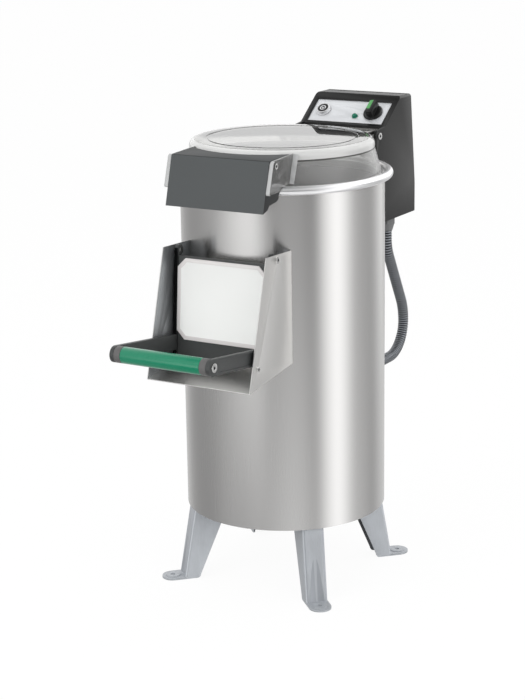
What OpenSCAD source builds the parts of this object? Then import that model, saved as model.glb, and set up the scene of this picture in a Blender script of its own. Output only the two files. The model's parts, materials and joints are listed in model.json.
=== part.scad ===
/* [Drum] */
// Outer diameter of the drum
drum_d = 400; // [380:5:420]
// Sheet thickness of the drum
drum_wall = 1.5; // [1:0.25:3]
// Height of the drum's open lower edge above the floor
drum_bottom = 148; // [130:1:160]
// Height of the drum's upper edge, where the rim sits
drum_top = 811.5; // [790:0.5:840]
// Diameter of the rolled bead on the rim
rim_bead_d = 17; // [14:0.5:20]
// How far the bead stands out past the drum
rim_overhang = 16; // [12:0.5:20]
// Thickness of the rim's flat seat
rim_seat_t = 2.5; // [1.5:0.5:4]

/* [Legs] */
// Bolt circle through the four foot holes
foot_pcd = 480; // [470:2:500]
// Diameter of the hole in each foot
foot_hole_d = 9; // [6:0.5:12]
// Width of each leg channel
leg_w = 44; // [36:1:56]
// Sheet thickness of the legs
leg_t = 3; // [2:0.5:4]
// Gap between a leg's outer face and the drum's lower edge
leg_gap = 2.5; // [2:0.1:6]
// Depth of a leg's flanges at the base plate
leg_top_depth = 79; // [70:1:90]
// Depth of a leg's flanges at the floor
leg_foot_depth = 31; // [24:1:40]
// Bend radius along a leg's outer edges
leg_bend = 5; // [3:0.5:8]
// Depth of the flute pressed into a leg's outer face
flute_deep = 1.8; // [1:0.1:2.4]
// Length of the flute above the foot
flute_len = 88; // [60:1:110]
// Height of the base plate's underside
base_plate_z = 190; // [184:1:200]
// Thickness of the base plate
base_plate_t = 6; // [4:0.5:8]

/* [Peeling chamber] */
// Height of the chamber floor's underside
floor_z = 436; // [425:1:440]
// Thickness of the chamber floor
floor_t = 6; // [4:0.5:8]
// Thickness of the abrasive liner
liner_t = 6; // [4:0.5:8]
// Height of the abrasive liner
liner_h = 262; // [230:2:280]
// Gap between the rotor's edge and the liner
rotor_gap = 5; // [3:0.5:8]
// Thickness of the rotor disc
rotor_t = 12; // [8:1:14]
// Height of the waves on top of the rotor
wave_h = 11; // [6:1:14]
// Number of waves on the rotor
wave_count = 3; // [2:1:4]

/* [Drive] */
// Diameter of the drive shaft
shaft_d = 25; // [20:1:30]
// Outer diameter of the shaft bearings
bearing_d = 52; // [47:1:56]
// Width of the shaft bearings
bearing_w = 15; // [12:1:17]
// Radial clearance of a running fit
run_gap = 0.06; // [0.02:0.01:0.1]
// Distance from the drum's axis to the motor's axis
motor_offset = 112; // [110:1:116]
// Diameter of the motor's body without its fins
motor_d = 112; // [100:2:116]
// Length of the motor's finned body
motor_body_h = 150; // [120:5:160]
// Diameter of the motor shaft
motor_shaft_d = 14; // [11:1:19]
// Diameter of the rotor's pulley
big_pulley_d = 160; // [140:2:166]
// Diameter of the motor's pulley
small_pulley_d = 40; // [34:1:44]
// Width of the ribbed belt
belt_w = 16; // [12:1:18]
// Thickness of the belt
belt_t = 4; // [3:0.5:5]

/* [Discharge] */
// Width of the discharge window
window_w = 156; // [130:2:164]
// Height of the discharge window
window_h = 170; // [150:2:176]
// Height of the window's lower edge above the chamber floor
window_rise = 60; // [50:1:70]
// Lean of the closed door, in degrees
door_tilt = 4.5; // [3:0.1:6]
// Distance of the door's pivot in front of the drum
pivot_out = 20; // [18:0.5:24]
// Thickness of the door's plate
door_t = 10; // [8:0.5:12]
// Reach of the handle in front of the pivot
handle_reach = 205; // [180:1:220]
// Diameter of the handle's grip
grip_d = 31; // [28:0.5:34]
// Length of the handle's grip
grip_len = 168; // [140:2:172]
// Half width between the chute's cheeks
chute_half_w = 112; // [111:0.5:118]
// How far the chute's lip stands out from the drum
chute_out = 126; // [110:1:140]
// How far the cheeks' upper corners stand out from the drum
chute_top_out = 59; // [50:1:70]
// Drop of the chute's lip below the window
chute_drop = 37; // [30:1:45]
// Sheet thickness of the chute
chute_t = 1.5; // [1:0.25:2]
// Largest opening angle of the door, in degrees
door_open = 60; // [40:1:65]

/* [Lid] */
// Wall thickness of the lid
lid_t = 3; // [2:0.5:4]
// Height of the lid from its lip to its flat top
lid_h = 72; // [64:1:76]
// Radius of the rounded shoulder
lid_shoulder = 14; // [10:1:16]
// Half width between the latch brackets
latch_half_w = 105.5; // [100:0.5:110]
// Wall thickness of the clear brackets beside the lid's handle
bracket_t = 3; // [2:0.5:3.5]
// Width of the brackets' outward flanges
flange_w = 8; // [7:0.5:12]
// Sheet thickness of the hinge arms
arm_sheet = 3; // [2:0.5:4]
// Wall thickness of the lid's handle
handle_wall = 3.5; // [2.5:0.5:4]
// Distance of the lid's hinge behind the drum
hinge_out = 25; // [24:0.5:28]
// Height of the lid's hinge above the drum's edge
hinge_up = 50.5; // [48:0.5:54]
// Gap between a hinge arm and the ear beside it
ear_gap = 4; // [2:0.5:8]

/* [Control box] */
// Width of the control box
box_w = 196; // [190:1:210]
// Wall thickness of the control box
box_wall = 4; // [3:0.5:5]
// Depth of the box's bottom behind the drum
box_depth = 199; // [196:1:215]
// Width of the cover's border beside the control fascia
fascia_border = 12; // [10:0.5:16]
// Height of the control fascia along its slope
fascia_h = 64; // [60:1:66]
// Distance of the push button from the fascia's left end
button_inset = 26; // [22:0.5:34]
// Distance of the timer knob from the fascia's right end
knob_inset = 31.5; // [28:0.5:36]
// Distance of the signal lamp to the left of the timer knob
lamp_gap = 37.5; // [30:0.5:44]
// Diameter of the timer knob
knob_d = 41; // [36:0.5:42]
// Diameter of the push button's bezel
bezel_d = 30; // [27:0.5:32]
// Travel of the push button
button_travel = 4; // [2:0.5:5]

/* [Conduit and water] */
// Outer diameter of the cable conduit
hose_d = 22; // [18:1:24]
// Distance of the conduit in from the side of the control box
hose_side = 22; // [20:0.5:28]
// Distance of the conduit's lower end below the chamber floor
hose_drop = 61.5; // [49.5:0.5:73.5]
// Outer diameter of the drain pipe
drain_d = 50; // [40:1:50]
// Outer diameter of the water inlet's thread
inlet_d = 26.2; // [20:0.2:27]

/* [Hidden] */
$fn = 96;
seat_gap = 0.3;
slip = 0.2;
bolt_r = 4;
bolt_hole_r = 4.3;
drum_r = drum_d / 2;
drum_in = drum_r - drum_wall;
fit_r = drum_in - slip;

rim_z = drum_top + rim_seat_t + 2;
rim_r = drum_r + rim_overhang - rim_bead_d / 2;
seat_z = drum_top + rim_seat_t;
seat_in = drum_r - 12;

liner_in = fit_r - liner_t;
liner_z = floor_z + floor_t + 16;
rotor_r = liner_in - rotor_gap;
rotor_z = floor_z + floor_t + 16;
drain_az = 210;
drain_r = 150;
drain_bend = 42;
drain_z = floor_z - drain_bend - 6;
drain_stub = 50;

pulley_w = belt_w + 6;
pulley_z = base_plate_z - 8 - pulley_w;
shaft_r = shaft_d / 2;
housing_r = bearing_d / 2 + 11;
housing_h = 106;
motor_z = base_plate_z + base_plate_t;

window_z = floor_z + floor_t + window_rise;
pivot_y = -(drum_r + pivot_out);
pivot_z = window_z + window_h + 23;
window_mid = window_z + window_h / 2;
neck_t = 2;
seal_t = 6;
door_back = 3;
door_half_w = chute_half_w - 13;
arm_t = 7;
door_low = -(window_h + 35);
handle_y = -handle_reach;
handle_z = -(window_h - 1.5);
arm_root_top = handle_z + 6;
arm_root_low = handle_z - 23.5;

lid_z = seat_z + seat_gap;
lip_r = drum_r - 4.5;
cone_r0 = lip_r - 3.5;
cone_r1 = lip_r - 16;
cone_z0 = lid_z + 8;
cone_z1 = lid_z + lid_h - lid_shoulder - 5;
shoulder_r = cone_r1 + 1;
lid_top = lid_z + lid_h;
cone_lean = atan((cone_r0 - cone_r1) / (cone_z1 - cone_z0));
latch_y = -(drum_r + 14);
latch_z = lid_top - 19.3;
latch_in = latch_half_w - 0.4;
hinge_y = drum_r + hinge_out;
hinge_z = drum_top + hinge_up;
hinge_pin_r = 4;

ear_t = 6;
box_half = box_w / 2;
hinge_half_w = box_half - ear_t - ear_gap - arm_sheet;
fascia_w = box_w - 2 * fascia_border;
box_low = drum_top - 130;
nose_y = hinge_y + 27.5;
nose_z = hinge_z + 15.5;
crest_y = nose_y + 72.5;
crest_z = nose_z + 54;
box_back = drum_r + box_depth;
slope = atan((crest_z - nose_z) / (crest_y - nose_y));
fascia_mid = 6 + fascia_h / 2;
fascia_t = 1.5;
fascia_deep = 2;
button_x = button_inset - fascia_w / 2;
knob_x = fascia_w / 2 - knob_inset;
lamp_x = knob_x - lamp_gap;
lamp_s = -12;
plate_y = drum_r + 22;
inner_half = box_half - box_wall - slip;
plate_half = box_half - ear_t - slip;
ledge_t = 3.5;
knob_h = 20;
knob_grip = 16;

hose_r = hose_d / 2;
hose_x = box_half - hose_side;
hose_y = box_back - 94.5;
hose_lean = 29;
hose_r1 = 80;
hose_r2 = 100;
hose_r3 = 67;
hose_start = box_low - 46;
hose_in_z = floor_z - hose_drop;
hose_run = (hose_start - hose_in_z - hose_r3 - (hose_r1 + hose_r2) * sin(hose_lean))
    / cos(hose_lean);
hose_gland_h = 28;
spray_x = -55;
spray_z = drum_top - 27;
valve_y = box_back - 99;

// ---- shared shapes ----

// Extrudes a (y, z) outline to a width along X, centred on X = 0
module side(w) rotate([90, 0, 90]) linear_extrude(height = w, center = true) children();

// Turns a part that faces the front to another bearing around the drum
module at_az(az) rotate([0, 0, az]) children();

// Lies a cylinder along the front-to-back direction
module along_y(r, length) rotate([90, 0, 0]) cylinder(r = r, h = length, center = true);

// Lies a cylinder along the left-to-right direction, from x0 to x1
module along_x(r, x0, x1) translate([x0, 0, 0]) rotate([0, 90, 0]) cylinder(r = r, h = x1 - x0);

module ring(r_out, r_in, z, h) {
    translate([0, 0, z]) difference() {
        cylinder(r = r_out, h = h);
        translate([0, 0, -1]) cylinder(r = r_in, h = h + 2);
    }
}

module round_rect(w, h, r) {
    square([w - 2 * r, h], center = true);
    square([w, h - 2 * r], center = true);
    for (x = [-1, 1], y = [-1, 1])
        translate([x * (w / 2 - r), y * (h / 2 - r)]) circle(r = r);
}

// A bar with round ends between two points of an outline
module bar2d(a, b, r) {
    d = b - a;
    length = norm(d);
    for (p = [a, b]) translate(p) circle(r = r);
    translate(a) rotate(atan2(d[1], d[0])) translate([0, -r]) square([length, 2 * r]);
}

function arc(cx, cy, r, a0, a1, n = 8) =
    [for (i = [0:n]) let (a = a0 + (a1 - a0) * i / n) [cx + r * cos(a), cy + r * sin(a)]];

function cone_at(z) = cone_r0 - (z - cone_z0) * tan(cone_lean);

// ---- drum and rim ----

module drum_window(grow) {
    translate([0, -drum_r, window_mid]) rotate([90, 0, 0])
        linear_extrude(height = 60, center = true)
            round_rect(window_w + 2 * grow, window_h + 2 * grow, 12);
}

module drum_shell() color("silver") {
    difference() {
        ring(drum_r, drum_in, drum_bottom, drum_top - drum_bottom);
        drum_window(0);
        at_az(drain_az) translate([0, -drum_r, drain_z]) along_y(drain_d / 2 + 4, 60);
        translate([hose_x, drum_r, hose_in_z]) along_y(hose_r + 1, 80);
        translate([spray_x, drum_r, spray_z]) along_y(7, 60);
    }
}

module rim_ring() color("gainsboro") {
    rotate_extrude() {
        translate([rim_r, rim_z]) circle(d = rim_bead_d, $fn = 48);
        translate([seat_in, drum_top]) square([rim_r - seat_in, rim_seat_t]);
        translate([fit_r - 2, drum_top - 16]) square([2, 16]);
    }
}

// ---- peeling chamber ----

module abrasive_liner() color("dimgray") {
    difference() {
        ring(fit_r, liner_in, liner_z, liner_h);
        drum_window(0.5);
    }
}

module chamber_floor() color("lightgray") {
    difference() {
        union() {
            translate([0, 0, floor_z]) cylinder(r = fit_r, h = floor_t);
            ring(fit_r, fit_r - 4, floor_z, floor_t + 15.7);
            translate([0, 0, floor_z]) cylinder(r = shaft_r + 14, h = floor_t + 8);
        }
        translate([0, 0, floor_z - 1]) cylinder(r = shaft_r + 1, h = floor_t + 20);
        translate([0, 0, floor_z + floor_t + 1]) cylinder(r = shaft_r + 5 + slip, h = 10);
        at_az(drain_az) translate([0, -drain_r, floor_z - 1])
            cylinder(r = drain_d / 2 + slip, h = floor_t + 2);
        for (a = [45:90:315]) at_az(a) translate([0, -housing_r - 14, floor_z - 1])
            cylinder(r = bolt_hole_r, h = floor_t + 2);
    }
}

module base_plate() color("lightslategray") {
    difference() {
        union() {
            translate([0, 0, base_plate_z]) cylinder(r = fit_r, h = base_plate_t);
            ring(fit_r, fit_r - 2, base_plate_z - 18, 18);
        }
        translate([0, 0, base_plate_z - 1]) cylinder(r = shaft_r + 6, h = base_plate_t + 2);
        translate([motor_offset, 0, base_plate_z - 1])
            cylinder(r = motor_shaft_d / 2 + 12, h = base_plate_t + 2);
        for (a = [45:90:315], y = tab_bolts()) at_az(a) translate([0, -y, base_plate_z - 1])
            cylinder(r = bolt_hole_r, h = base_plate_t + 2);
        for (a = [0:90:270]) translate([motor_offset, 0, base_plate_z - 1]) rotate(a)
            translate([motor_d / 2 + 2, 0, 0]) cylinder(r = bolt_hole_r, h = base_plate_t + 2);
    }
}

// ---- legs ----

foot_r = foot_pcd / 2;
leg_out0 = foot_r - 19;
leg_lean = atan((leg_out0 - drum_in + leg_gap) / drum_bottom);
leg_inner_lean = atan((leg_out0 - leg_foot_depth - leg_out(base_plate_z) + leg_top_depth)
    / base_plate_z);
function leg_out(z) = leg_out0 - z * tan(leg_lean);
function leg_in(z) = leg_out0 - leg_foot_depth - z * tan(leg_inner_lean);
function tab_bolts() = [leg_in(base_plate_z) + 22, leg_out(base_plate_z) - 22];

// Cross-section of the channel, outer face along y = 0 and open towards +y
module leg_section() {
    deep = leg_foot_depth + 110;
    difference() {
        translate([0, deep / 2]) round_rect(leg_w, deep, leg_bend);
        translate([0, leg_t + deep / 2]) round_rect(leg_w - 2 * leg_t, deep, leg_bend - leg_t + 1);
        translate([-leg_w, deep - leg_bend - leg_t]) square([2 * leg_w, 3 * leg_bend]);
    }
}

module leg_outline() {
    polygon(concat([[-leg_out0 - 1, 0], [-leg_out(base_plate_z) - 1, base_plate_z],
        [-leg_in(base_plate_z), base_plate_z]],
        arc(-leg_in(7) - 7, 7, 7, 0, -90, 6)));
}

module leg(az) color("lightsteelblue") {
    tongue = leg_t + 1;
    flute_half = leg_w / 2 - leg_bend - 2;
    flute_r = (flute_half * flute_half + flute_deep * flute_deep) / (2 * flute_deep);
    flute_lean = atan(flute_deep / flute_len);
    at_az(az) difference() {
        union() {
            intersection() {
                translate([0, -leg_out0, 0]) rotate([-leg_lean, 0, 0]) difference() {
                    union() {
                        translate([0, 0, -20]) linear_extrude(height = base_plate_z + 60)
                            leg_section();
                        translate([-flute_half - 2, leg_t - 0.5, tongue + 4])
                            cube([2 * flute_half + 4, flute_deep + 0.5, flute_len - 8]);
                    }
                    translate([0, flute_deep, tongue + 1]) rotate([flute_lean, 0, 0])
                        translate([0, -flute_r, 0]) cylinder(r = flute_r, h = flute_len + 20);
                }
                side(leg_w + 2) leg_outline();
            }
            translate([0, -foot_r, 0]) cylinder(d = leg_w, h = tongue);
            translate([-leg_w / 2, -foot_r, 0]) cube([leg_w, 24, tongue]);
            translate([0, -foot_r, tongue]) cylinder(r = leg_w / 2 - 7, h = 1.5);
            translate([0, -(leg_in(base_plate_z) + leg_out(base_plate_z)) / 2,
                base_plate_z - leg_t / 2])
                cube([leg_w - 2 * leg_t + 1, leg_out(base_plate_z) - leg_in(base_plate_z) - 6,
                    leg_t], center = true);
        }
        translate([0, -foot_r, -1]) cylinder(d = foot_hole_d, h = tongue + 4);
        for (y = tab_bolts()) translate([0, -y, base_plate_z - 10])
            cylinder(r = bolt_hole_r, h = 12);
    }
}

module leg_front_left() leg(-45);
module leg_front_right() leg(45);
module leg_back_left() leg(-135);
module leg_back_right() leg(135);

// A hexagon bolt with its head below z = 0 and its shank pointing up
module hex_bolt(length) {
    translate([0, 0, -5.3]) cylinder(r = 7.2, h = 5.3, $fn = 6);
    cylinder(r = bolt_r, h = length);
}

module frame_bolts() color("darkgray") {
    grip = leg_t + base_plate_t;
    for (a = [45:90:315], y = tab_bolts()) at_az(a)
        translate([0, -y, base_plate_z - leg_t]) {
            hex_bolt(grip);
            translate([0, 0, grip]) cylinder(r = 7.2, h = 6.5, $fn = 6);
        }
    for (a = [0:90:270]) translate([motor_offset, 0, motor_z + 10]) rotate(a)
        translate([motor_d / 2 + 2, 0, 0]) mirror([0, 0, 1]) hex_bolt(10 + base_plate_t);
    for (a = [45:90:315]) at_az(a)
        translate([0, -housing_r - 14, floor_z - 10]) hex_bolt(10 + floor_t);
}

// ---- rotor drive ----

module bearing_housing() color("slategray") {
    low = floor_z - housing_h;
    difference() {
        union() {
            translate([0, 0, floor_z - 10]) cylinder(r = housing_r + 25, h = 10);
            translate([0, 0, low]) cylinder(r = housing_r, h = housing_h);
            for (a = [0:90:270]) rotate([0, 0, a])
                translate([housing_r - 2, -3, floor_z - 10])
                    rotate([-90, 0, 0]) linear_extrude(height = 6)
                        polygon([[0, 0], [22, 0], [0, 60]]);
        }
        translate([0, 0, low - 1]) cylinder(r = shaft_r + 2, h = housing_h + 2);
        translate([0, 0, low - 1]) cylinder(d = bearing_d, h = bearing_w + 4);
        translate([0, 0, floor_z - bearing_w - 3]) cylinder(d = bearing_d, h = bearing_w + 4);
        for (a = [45:90:315]) at_az(a) translate([0, -housing_r - 14, floor_z - 11])
            cylinder(r = bolt_hole_r, h = 12);
    }
}

module shaft_bearings() color("silver") {
    for (z = [floor_z - housing_h + 3, floor_z - bearing_w - 3]) translate([0, 0, z])
        rotate_extrude() difference() {
            translate([shaft_r + run_gap, 0])
                square([bearing_d / 2 - shaft_r - run_gap - 0.02, bearing_w]);
            for (y = [-1, bearing_w - 1]) translate([shaft_r + 4, y])
                square([bearing_d / 2 - shaft_r - 8, 2]);
        }
}

module shaft_seal() color("black") {
    ring(shaft_r + 5, shaft_r + run_gap, floor_z + floor_t + 1.2, 6.6);
}

module drive_shaft() color("silver") {
    low = pulley_z - 4;
    difference() {
        translate([0, 0, low]) cylinder(r = shaft_r, h = rotor_z + rotor_t - low);
        translate([0, 0, low - 1]) cylinder(r = 3, h = 14);
    }
}

module abrasive_rotor() color("dimgray") {
    hub_low = floor_z + floor_t + 8.6;
    difference() {
        union() {
            translate([0, 0, rotor_z]) cylinder(r = rotor_r, h = rotor_t);
            translate([0, 0, hub_low]) cylinder(r = shaft_r + 12, h = rotor_z - hub_low + 1);
            intersection() {
                translate([0, 0, rotor_z]) cylinder(r = rotor_r - 4, h = rotor_t + wave_h);
                for (i = [0:wave_count - 1]) rotate([0, 0, 360 * i / wave_count])
                    rotate([90, 0, 90]) translate([0, rotor_z + rotor_t + wave_h - 40, 0])
                        cylinder(r = 40, h = rotor_r);
            }
            for (a = [0, 180]) rotate([0, 0, a]) translate([shaft_r + 8, -2.5, hub_low])
                cube([rotor_r - shaft_r - 22, 5, rotor_z - hub_low + 1]);
        }
        translate([0, 0, hub_low - 1]) cylinder(r = shaft_r + 0.02, h = 60);
        translate([0, 0, rotor_z + rotor_t]) cylinder(r = shaft_r + 6 + seat_gap, h = 60);
    }
}

module rotor_cap() color("gray") {
    top = rotor_z + rotor_t;
    rotate_extrude() polygon(concat([[0, top + 0.2], [shaft_r + 6, top + 0.2],
        [shaft_r + 6, top + wave_h + 2]],
        arc(0, top + wave_h + 2, shaft_r + 6, 0, 90, 8)));
}

function grooves(r, w, n) = [for (i = [0:2 * n]) [r - (i % 2) * 2, w * i / (2 * n)]];

// A pulley with V grooves for a ribbed belt, standing on z = 0
module pulley(r, bore_r) {
    margin = (pulley_w - belt_w) / 2;
    rotate_extrude() polygon(concat([[bore_r, 0], [r, 0]],
        [for (p = grooves(r, belt_w, 5)) [p[0], p[1] + margin]],
        [[r, pulley_w], [bore_r, pulley_w]]));
}

module driven_pulley() color("slategray") {
    r = big_pulley_d / 2;
    translate([0, 0, pulley_z]) difference() {
        pulley(r, shaft_r + 0.02);
        for (z = [-1, pulley_w / 2 + 4]) translate([0, 0, z])
            ring(r - 9, shaft_r + 11, 0, pulley_w / 2 - 3);
        for (a = [30:60:330]) rotate([0, 0, a]) translate([r / 2 + 8, 0, -1])
            cylinder(r = 12, h = pulley_w + 2);
    }
}

module motor_pulley() color("slategray") {
    translate([motor_offset, 0, pulley_z])
        pulley(small_pulley_d / 2, motor_shaft_d / 2 + 0.02);
}

// Outline of the closed belt, grown outwards from the two pulleys
module belt_outline(grow) {
    r_big = big_pulley_d / 2 + grow;
    r_small = small_pulley_d / 2 + grow;
    lean = acos((r_big - r_small) / motor_offset);
    circle(r = r_big);
    translate([motor_offset, 0]) circle(r = r_small);
    polygon([[r_big * cos(lean), r_big * sin(lean)],
        [motor_offset + r_small * cos(lean), r_small * sin(lean)],
        [motor_offset + r_small * cos(lean), -r_small * sin(lean)],
        [r_big * cos(lean), -r_big * sin(lean)]]);
}

module drive_belt() color("black") {
    translate([0, 0, pulley_z + (pulley_w - belt_w) / 2]) linear_extrude(height = belt_w)
        difference() {
            belt_outline(seat_gap + belt_t);
            belt_outline(seat_gap);
        }
}

module motor_shaft() color("silver") {
    translate([motor_offset, 0, pulley_z - 3])
        cylinder(d = motor_shaft_d, h = motor_z + 16 - pulley_z);
}

module motor_body() color("slategray") {
    r = motor_d / 2;
    fin = 6;
    translate([motor_offset, 0, motor_z]) difference() {
        union() {
            cylinder(r = r + 12, h = 10);
            cylinder(r = r, h = motor_body_h + 12);
            for (i = [0:23]) rotate([0, 0, i * 15 + 7.5]) translate([r - 2, -1, 9])
                cube([fin + 1, 2, motor_body_h - 20]);
            translate([r - 4, -24, 50]) cube([18, 48, 66]);
        }
        translate([0, 0, -1]) cylinder(r = motor_shaft_d / 2 + run_gap, h = 30);
        for (a = [0:90:270]) rotate(a) translate([r + 2, 0, -1]) {
            cylinder(r = bolt_hole_r, h = 12);
            translate([0, 0, 11]) cylinder(r = 9, h = 12);
        }
    }
}

module motor_fan_cover() color("darkslategray") {
    r = motor_d / 2 + 4;
    low = motor_z + motor_body_h - 8;
    translate([motor_offset, 0, low]) difference() {
        cylinder(r = r, h = 44);
        translate([0, 0, -1]) cylinder(r = r - 3, h = 42);
        for (i = [0:11]) rotate([0, 0, i * 30]) translate([16, -2.5, 30])
            cube([r - 30, 5, 20]);
    }
}

// ---- drain ----

module drain_pipe() color("gray") {
    r = drain_d / 2;
    at_az(drain_az) translate([0, -drain_r, 0]) {
        ring(r, r - 3, floor_z - 6, floor_t + 5.5);
        translate([0, -drain_bend, floor_z - 6]) rotate([90, 0, 90])
            rotate_extrude(angle = -90) translate([drain_bend, 0]) difference() {
                circle(r = r);
                circle(r = r - 3);
            }
        translate([0, -drain_bend, drain_z]) rotate([90, 0, 0]) difference() {
            cylinder(r = r, h = drum_r - drain_r - drain_bend + drain_stub);
            translate([0, 0, -1]) cylinder(r = r - 3, h = 200);
        }
        translate([0, -(drum_r - drain_r + 8), drain_z]) rotate([90, 0, 0])
            ring(r + 2.5, r - 0.5, 0, 3);
    }
}

module drain_grommet() color("black") {
    at_az(drain_az) translate([0, -drum_r + 1, drain_z]) rotate([90, 0, 0]) difference() {
        cylinder(r = drain_d / 2 + 3.8, h = 14, center = true);
        cylinder(r = drain_d / 2 + 0.1, h = 20, center = true);
    }
}

// ---- discharge chute and door ----

// Places a part in the leaning frame of the door's pivot
module at_door() translate([0, pivot_y, pivot_z]) rotate([-door_tilt, 0, 0]) children();

module discharge_frame() color("silver") {
    flange_y = door_back + seal_t + seat_gap;
    difference() {
        union() {
            intersection() {
                drum_window(-0.3);
                at_door() translate([-200, flange_y, -400]) cube([400, 400, 500]);
            }
            at_door() translate([0, flange_y + neck_t / 2, -(window_h / 2 + 23)])
                rotate([90, 0, 0]) linear_extrude(height = neck_t, center = true)
                    round_rect(window_w + 18, window_h + 16, 8);
        }
        translate([0, -drum_r, window_mid]) rotate([90, 0, 0])
            linear_extrude(height = 120, center = true)
                round_rect(window_w - 2 * neck_t, window_h - 2 * neck_t, 10);
        cylinder(r = liner_in + 0.1, h = 2 * drum_top);
    }
}

chute_front_top = [-(drum_r + chute_top_out), pivot_z + 11];
chute_front_low = [-(drum_r + chute_out), window_z - chute_drop];
chute_back_low = [-(drum_r - 50), window_z - 15];
chute_back_top = [-(drum_r - 50), pivot_z + 7];

module chute() color("silver") {
    drop = [0, chute_t];
    difference() {
        union() {
            for (s = [-1, 1]) translate([s * (chute_half_w - chute_t / 2), 0, 0]) side(chute_t)
                polygon([chute_front_top, chute_front_low, chute_back_low, chute_back_top]);
            side(2 * chute_half_w - chute_t) polygon([chute_front_low, chute_back_low,
                chute_back_low + drop, chute_front_low + drop]);
        }
        cylinder(r = drum_r + 0.15, h = 2 * drum_top);
        translate([0, pivot_y, pivot_z]) along_x(4.1, -chute_half_w - 1, chute_half_w + 1);
        translate([0, chute_screw_y(), chute_screw_z()]) along_x(2.6, -chute_half_w - 1, chute_half_w + 1);
    }
}

function chute_screw_y() = chute_front_low[0] + 31;
function chute_screw_z() = chute_front_low[1] + 40;

module chute_screws() color("lightgray") {
    for (s = [0, 1]) mirror([s, 0, 0]) {
        translate([0, pivot_y, pivot_z]) {
            along_x(4, door_half_w + 0.5, chute_half_w);
            along_x(6.5, chute_half_w, chute_half_w + 3);
        }
        translate([0, chute_screw_y(), chute_screw_z()]) {
            along_x(2.5, chute_half_w - 4.5, chute_half_w);
            along_x(5, chute_half_w, chute_half_w + 2.5);
            along_x(4.5, chute_half_w - chute_t - 2.6, chute_half_w - chute_t);
        }
    }
}

module door_side_outline() {
    circle(r = 10);
    translate([-9, door_low]) square([9 + door_back, -door_low]);
    polygon([[0, arm_root_top], [0, arm_root_low], [handle_y, handle_z - grip_d / 2],
        [handle_y, handle_z + grip_d / 2]]);
    translate([handle_y, handle_z]) circle(d = grip_d);
}

module arm_recess() {
    inset = 4;
    polygon([[-12, arm_root_top - inset], [-12, arm_root_low + inset],
        [handle_y + grip_d * 0.62, handle_z - grip_d / 2 + inset],
        [handle_y + grip_d * 0.62, handle_z + grip_d / 2 - inset]]);
}

module discharge_door() color("dimgray") {
    at_door() difference() {
        union() {
            for (s = [-1, 1]) translate([s * (door_half_w + arm_t / 2 - 0.5), 0, 0])
                side(arm_t + 1) door_side_outline();
            translate([-door_half_w, door_back - door_t, door_low])
                cube([2 * door_half_w, door_t, -door_low - 10]);
        }
        along_x(4 + run_gap, -200, 200);
        translate([0, handle_y, handle_z]) along_x(6.1, -200, 200);
        for (s = [-1, 1]) translate([s * (door_half_w + arm_t), 0, 0])
            side(5) arm_recess();
    }
}

module door_face_panel() color("white") {
    w = 2 * door_half_w - 4;
    h = window_h - 14;
    cut = 17;
    at_door() translate([0, door_back - door_t, -13.5]) rotate([90, 0, 0])
        linear_extrude(height = 3.3) polygon([[-w / 2, -cut], [-w / 2 + cut, 0],
            [w / 2 - cut, 0], [w / 2, -cut], [w / 2, cut - h], [w / 2 - cut, -h],
            [-w / 2 + cut, -h], [-w / 2, cut - h]]);
}

module door_seal() color("black") {
    at_door() translate([0, door_back, -(window_h / 2 + 23)]) rotate([-90, 0, 0])
        linear_extrude(height = seal_t) difference() {
            round_rect(window_w + 14, window_h + 12, 8);
            round_rect(window_w - 2, window_h - 2, 6);
        }
}

module handle_grip() color("seagreen") {
    at_door() translate([0, handle_y, handle_z]) difference() {
        along_x(grip_d / 2, -grip_len / 2, grip_len / 2);
        along_x(6.1, -200, 200);
    }
}

module handle_caps() color("gray") {
    at_door() translate([0, handle_y, handle_z]) for (s = [0, 1]) mirror([s, 0, 0])
        difference() {
            along_x(grip_d / 2, grip_len / 2 + 0.2, door_half_w - 1.2);
            along_x(6.1, 0, 200);
        }
}

module handle_rod() color("lightgray") {
    tip = door_half_w + arm_t;
    at_door() translate([0, handle_y, handle_z]) {
        along_x(6, -tip, tip);
        for (s = [0, 1]) mirror([s, 0, 0]) difference() {
            along_x(8.5, tip, tip + 2.5);
            along_x(3, tip + 1, tip + 3);
        }
    }
}

// ---- lid ----

module lid_profile(inset) {
    r = lid_shoulder - inset;
    polygon(concat([[0, lid_z - inset], [cone_r0 - inset, lid_z - inset],
        [cone_r0 - inset, cone_z0], [cone_r1 - inset, cone_z1],
        [shoulder_r - inset, cone_z1]],
        arc(shoulder_r - lid_shoulder, lid_top - lid_shoulder, r, 0, 90, 10),
        [[0, lid_top - inset]]));
}

module lid_dome() color("lightcyan", 0.4) {
    groove = shoulder_r - 36;
    rotate_extrude() difference() {
        union() {
            lid_profile(0);
            translate([cone_r0 - 1, lid_z]) square([lip_r - cone_r0 + 1, 5]);
        }
        lid_profile(lid_t);
        translate([groove, lid_top - 1]) square([4, 2]);
    }
}

latch_front_top = [latch_y - 17.4, latch_z + 10.5];
latch_front_low = [latch_y - 33, latch_z - 49.8];
flange_up = 10;
flange_down = 46;

function lid_az(x0) = asin(x0 / shoulder_r);

// A strip that leans against the lid's shoulder from the plane x = x0, with two rivets
module lid_flange(x0, t, w) {
    az = lid_az(x0);
    lean = atan(tan(cone_lean) / cos(az));
    turn = atan2(sin(az) * cos(cone_lean),
        cos(az) * cos(cone_lean) * cos(lean) + sin(cone_lean) * sin(lean));
    y0 = -sqrt(pow(shoulder_r + seat_gap, 2) - x0 * x0);
    translate([x0, y0 - 0.5, cone_z1 + 3]) rotate([-lean, 0, 0]) rotate([0, 0, turn]) {
        translate([0, -t, -flange_down]) cube([w, t, flange_down + flange_up]);
        for (z = [-12, -34]) translate([w - 4, -t - 1.2, z]) rotate([-90, 0, 0]) {
            cylinder(r = 3, h = 1.3);
            cylinder(r = 1.8, h = t + 2.2);
        }
    }
}

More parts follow.
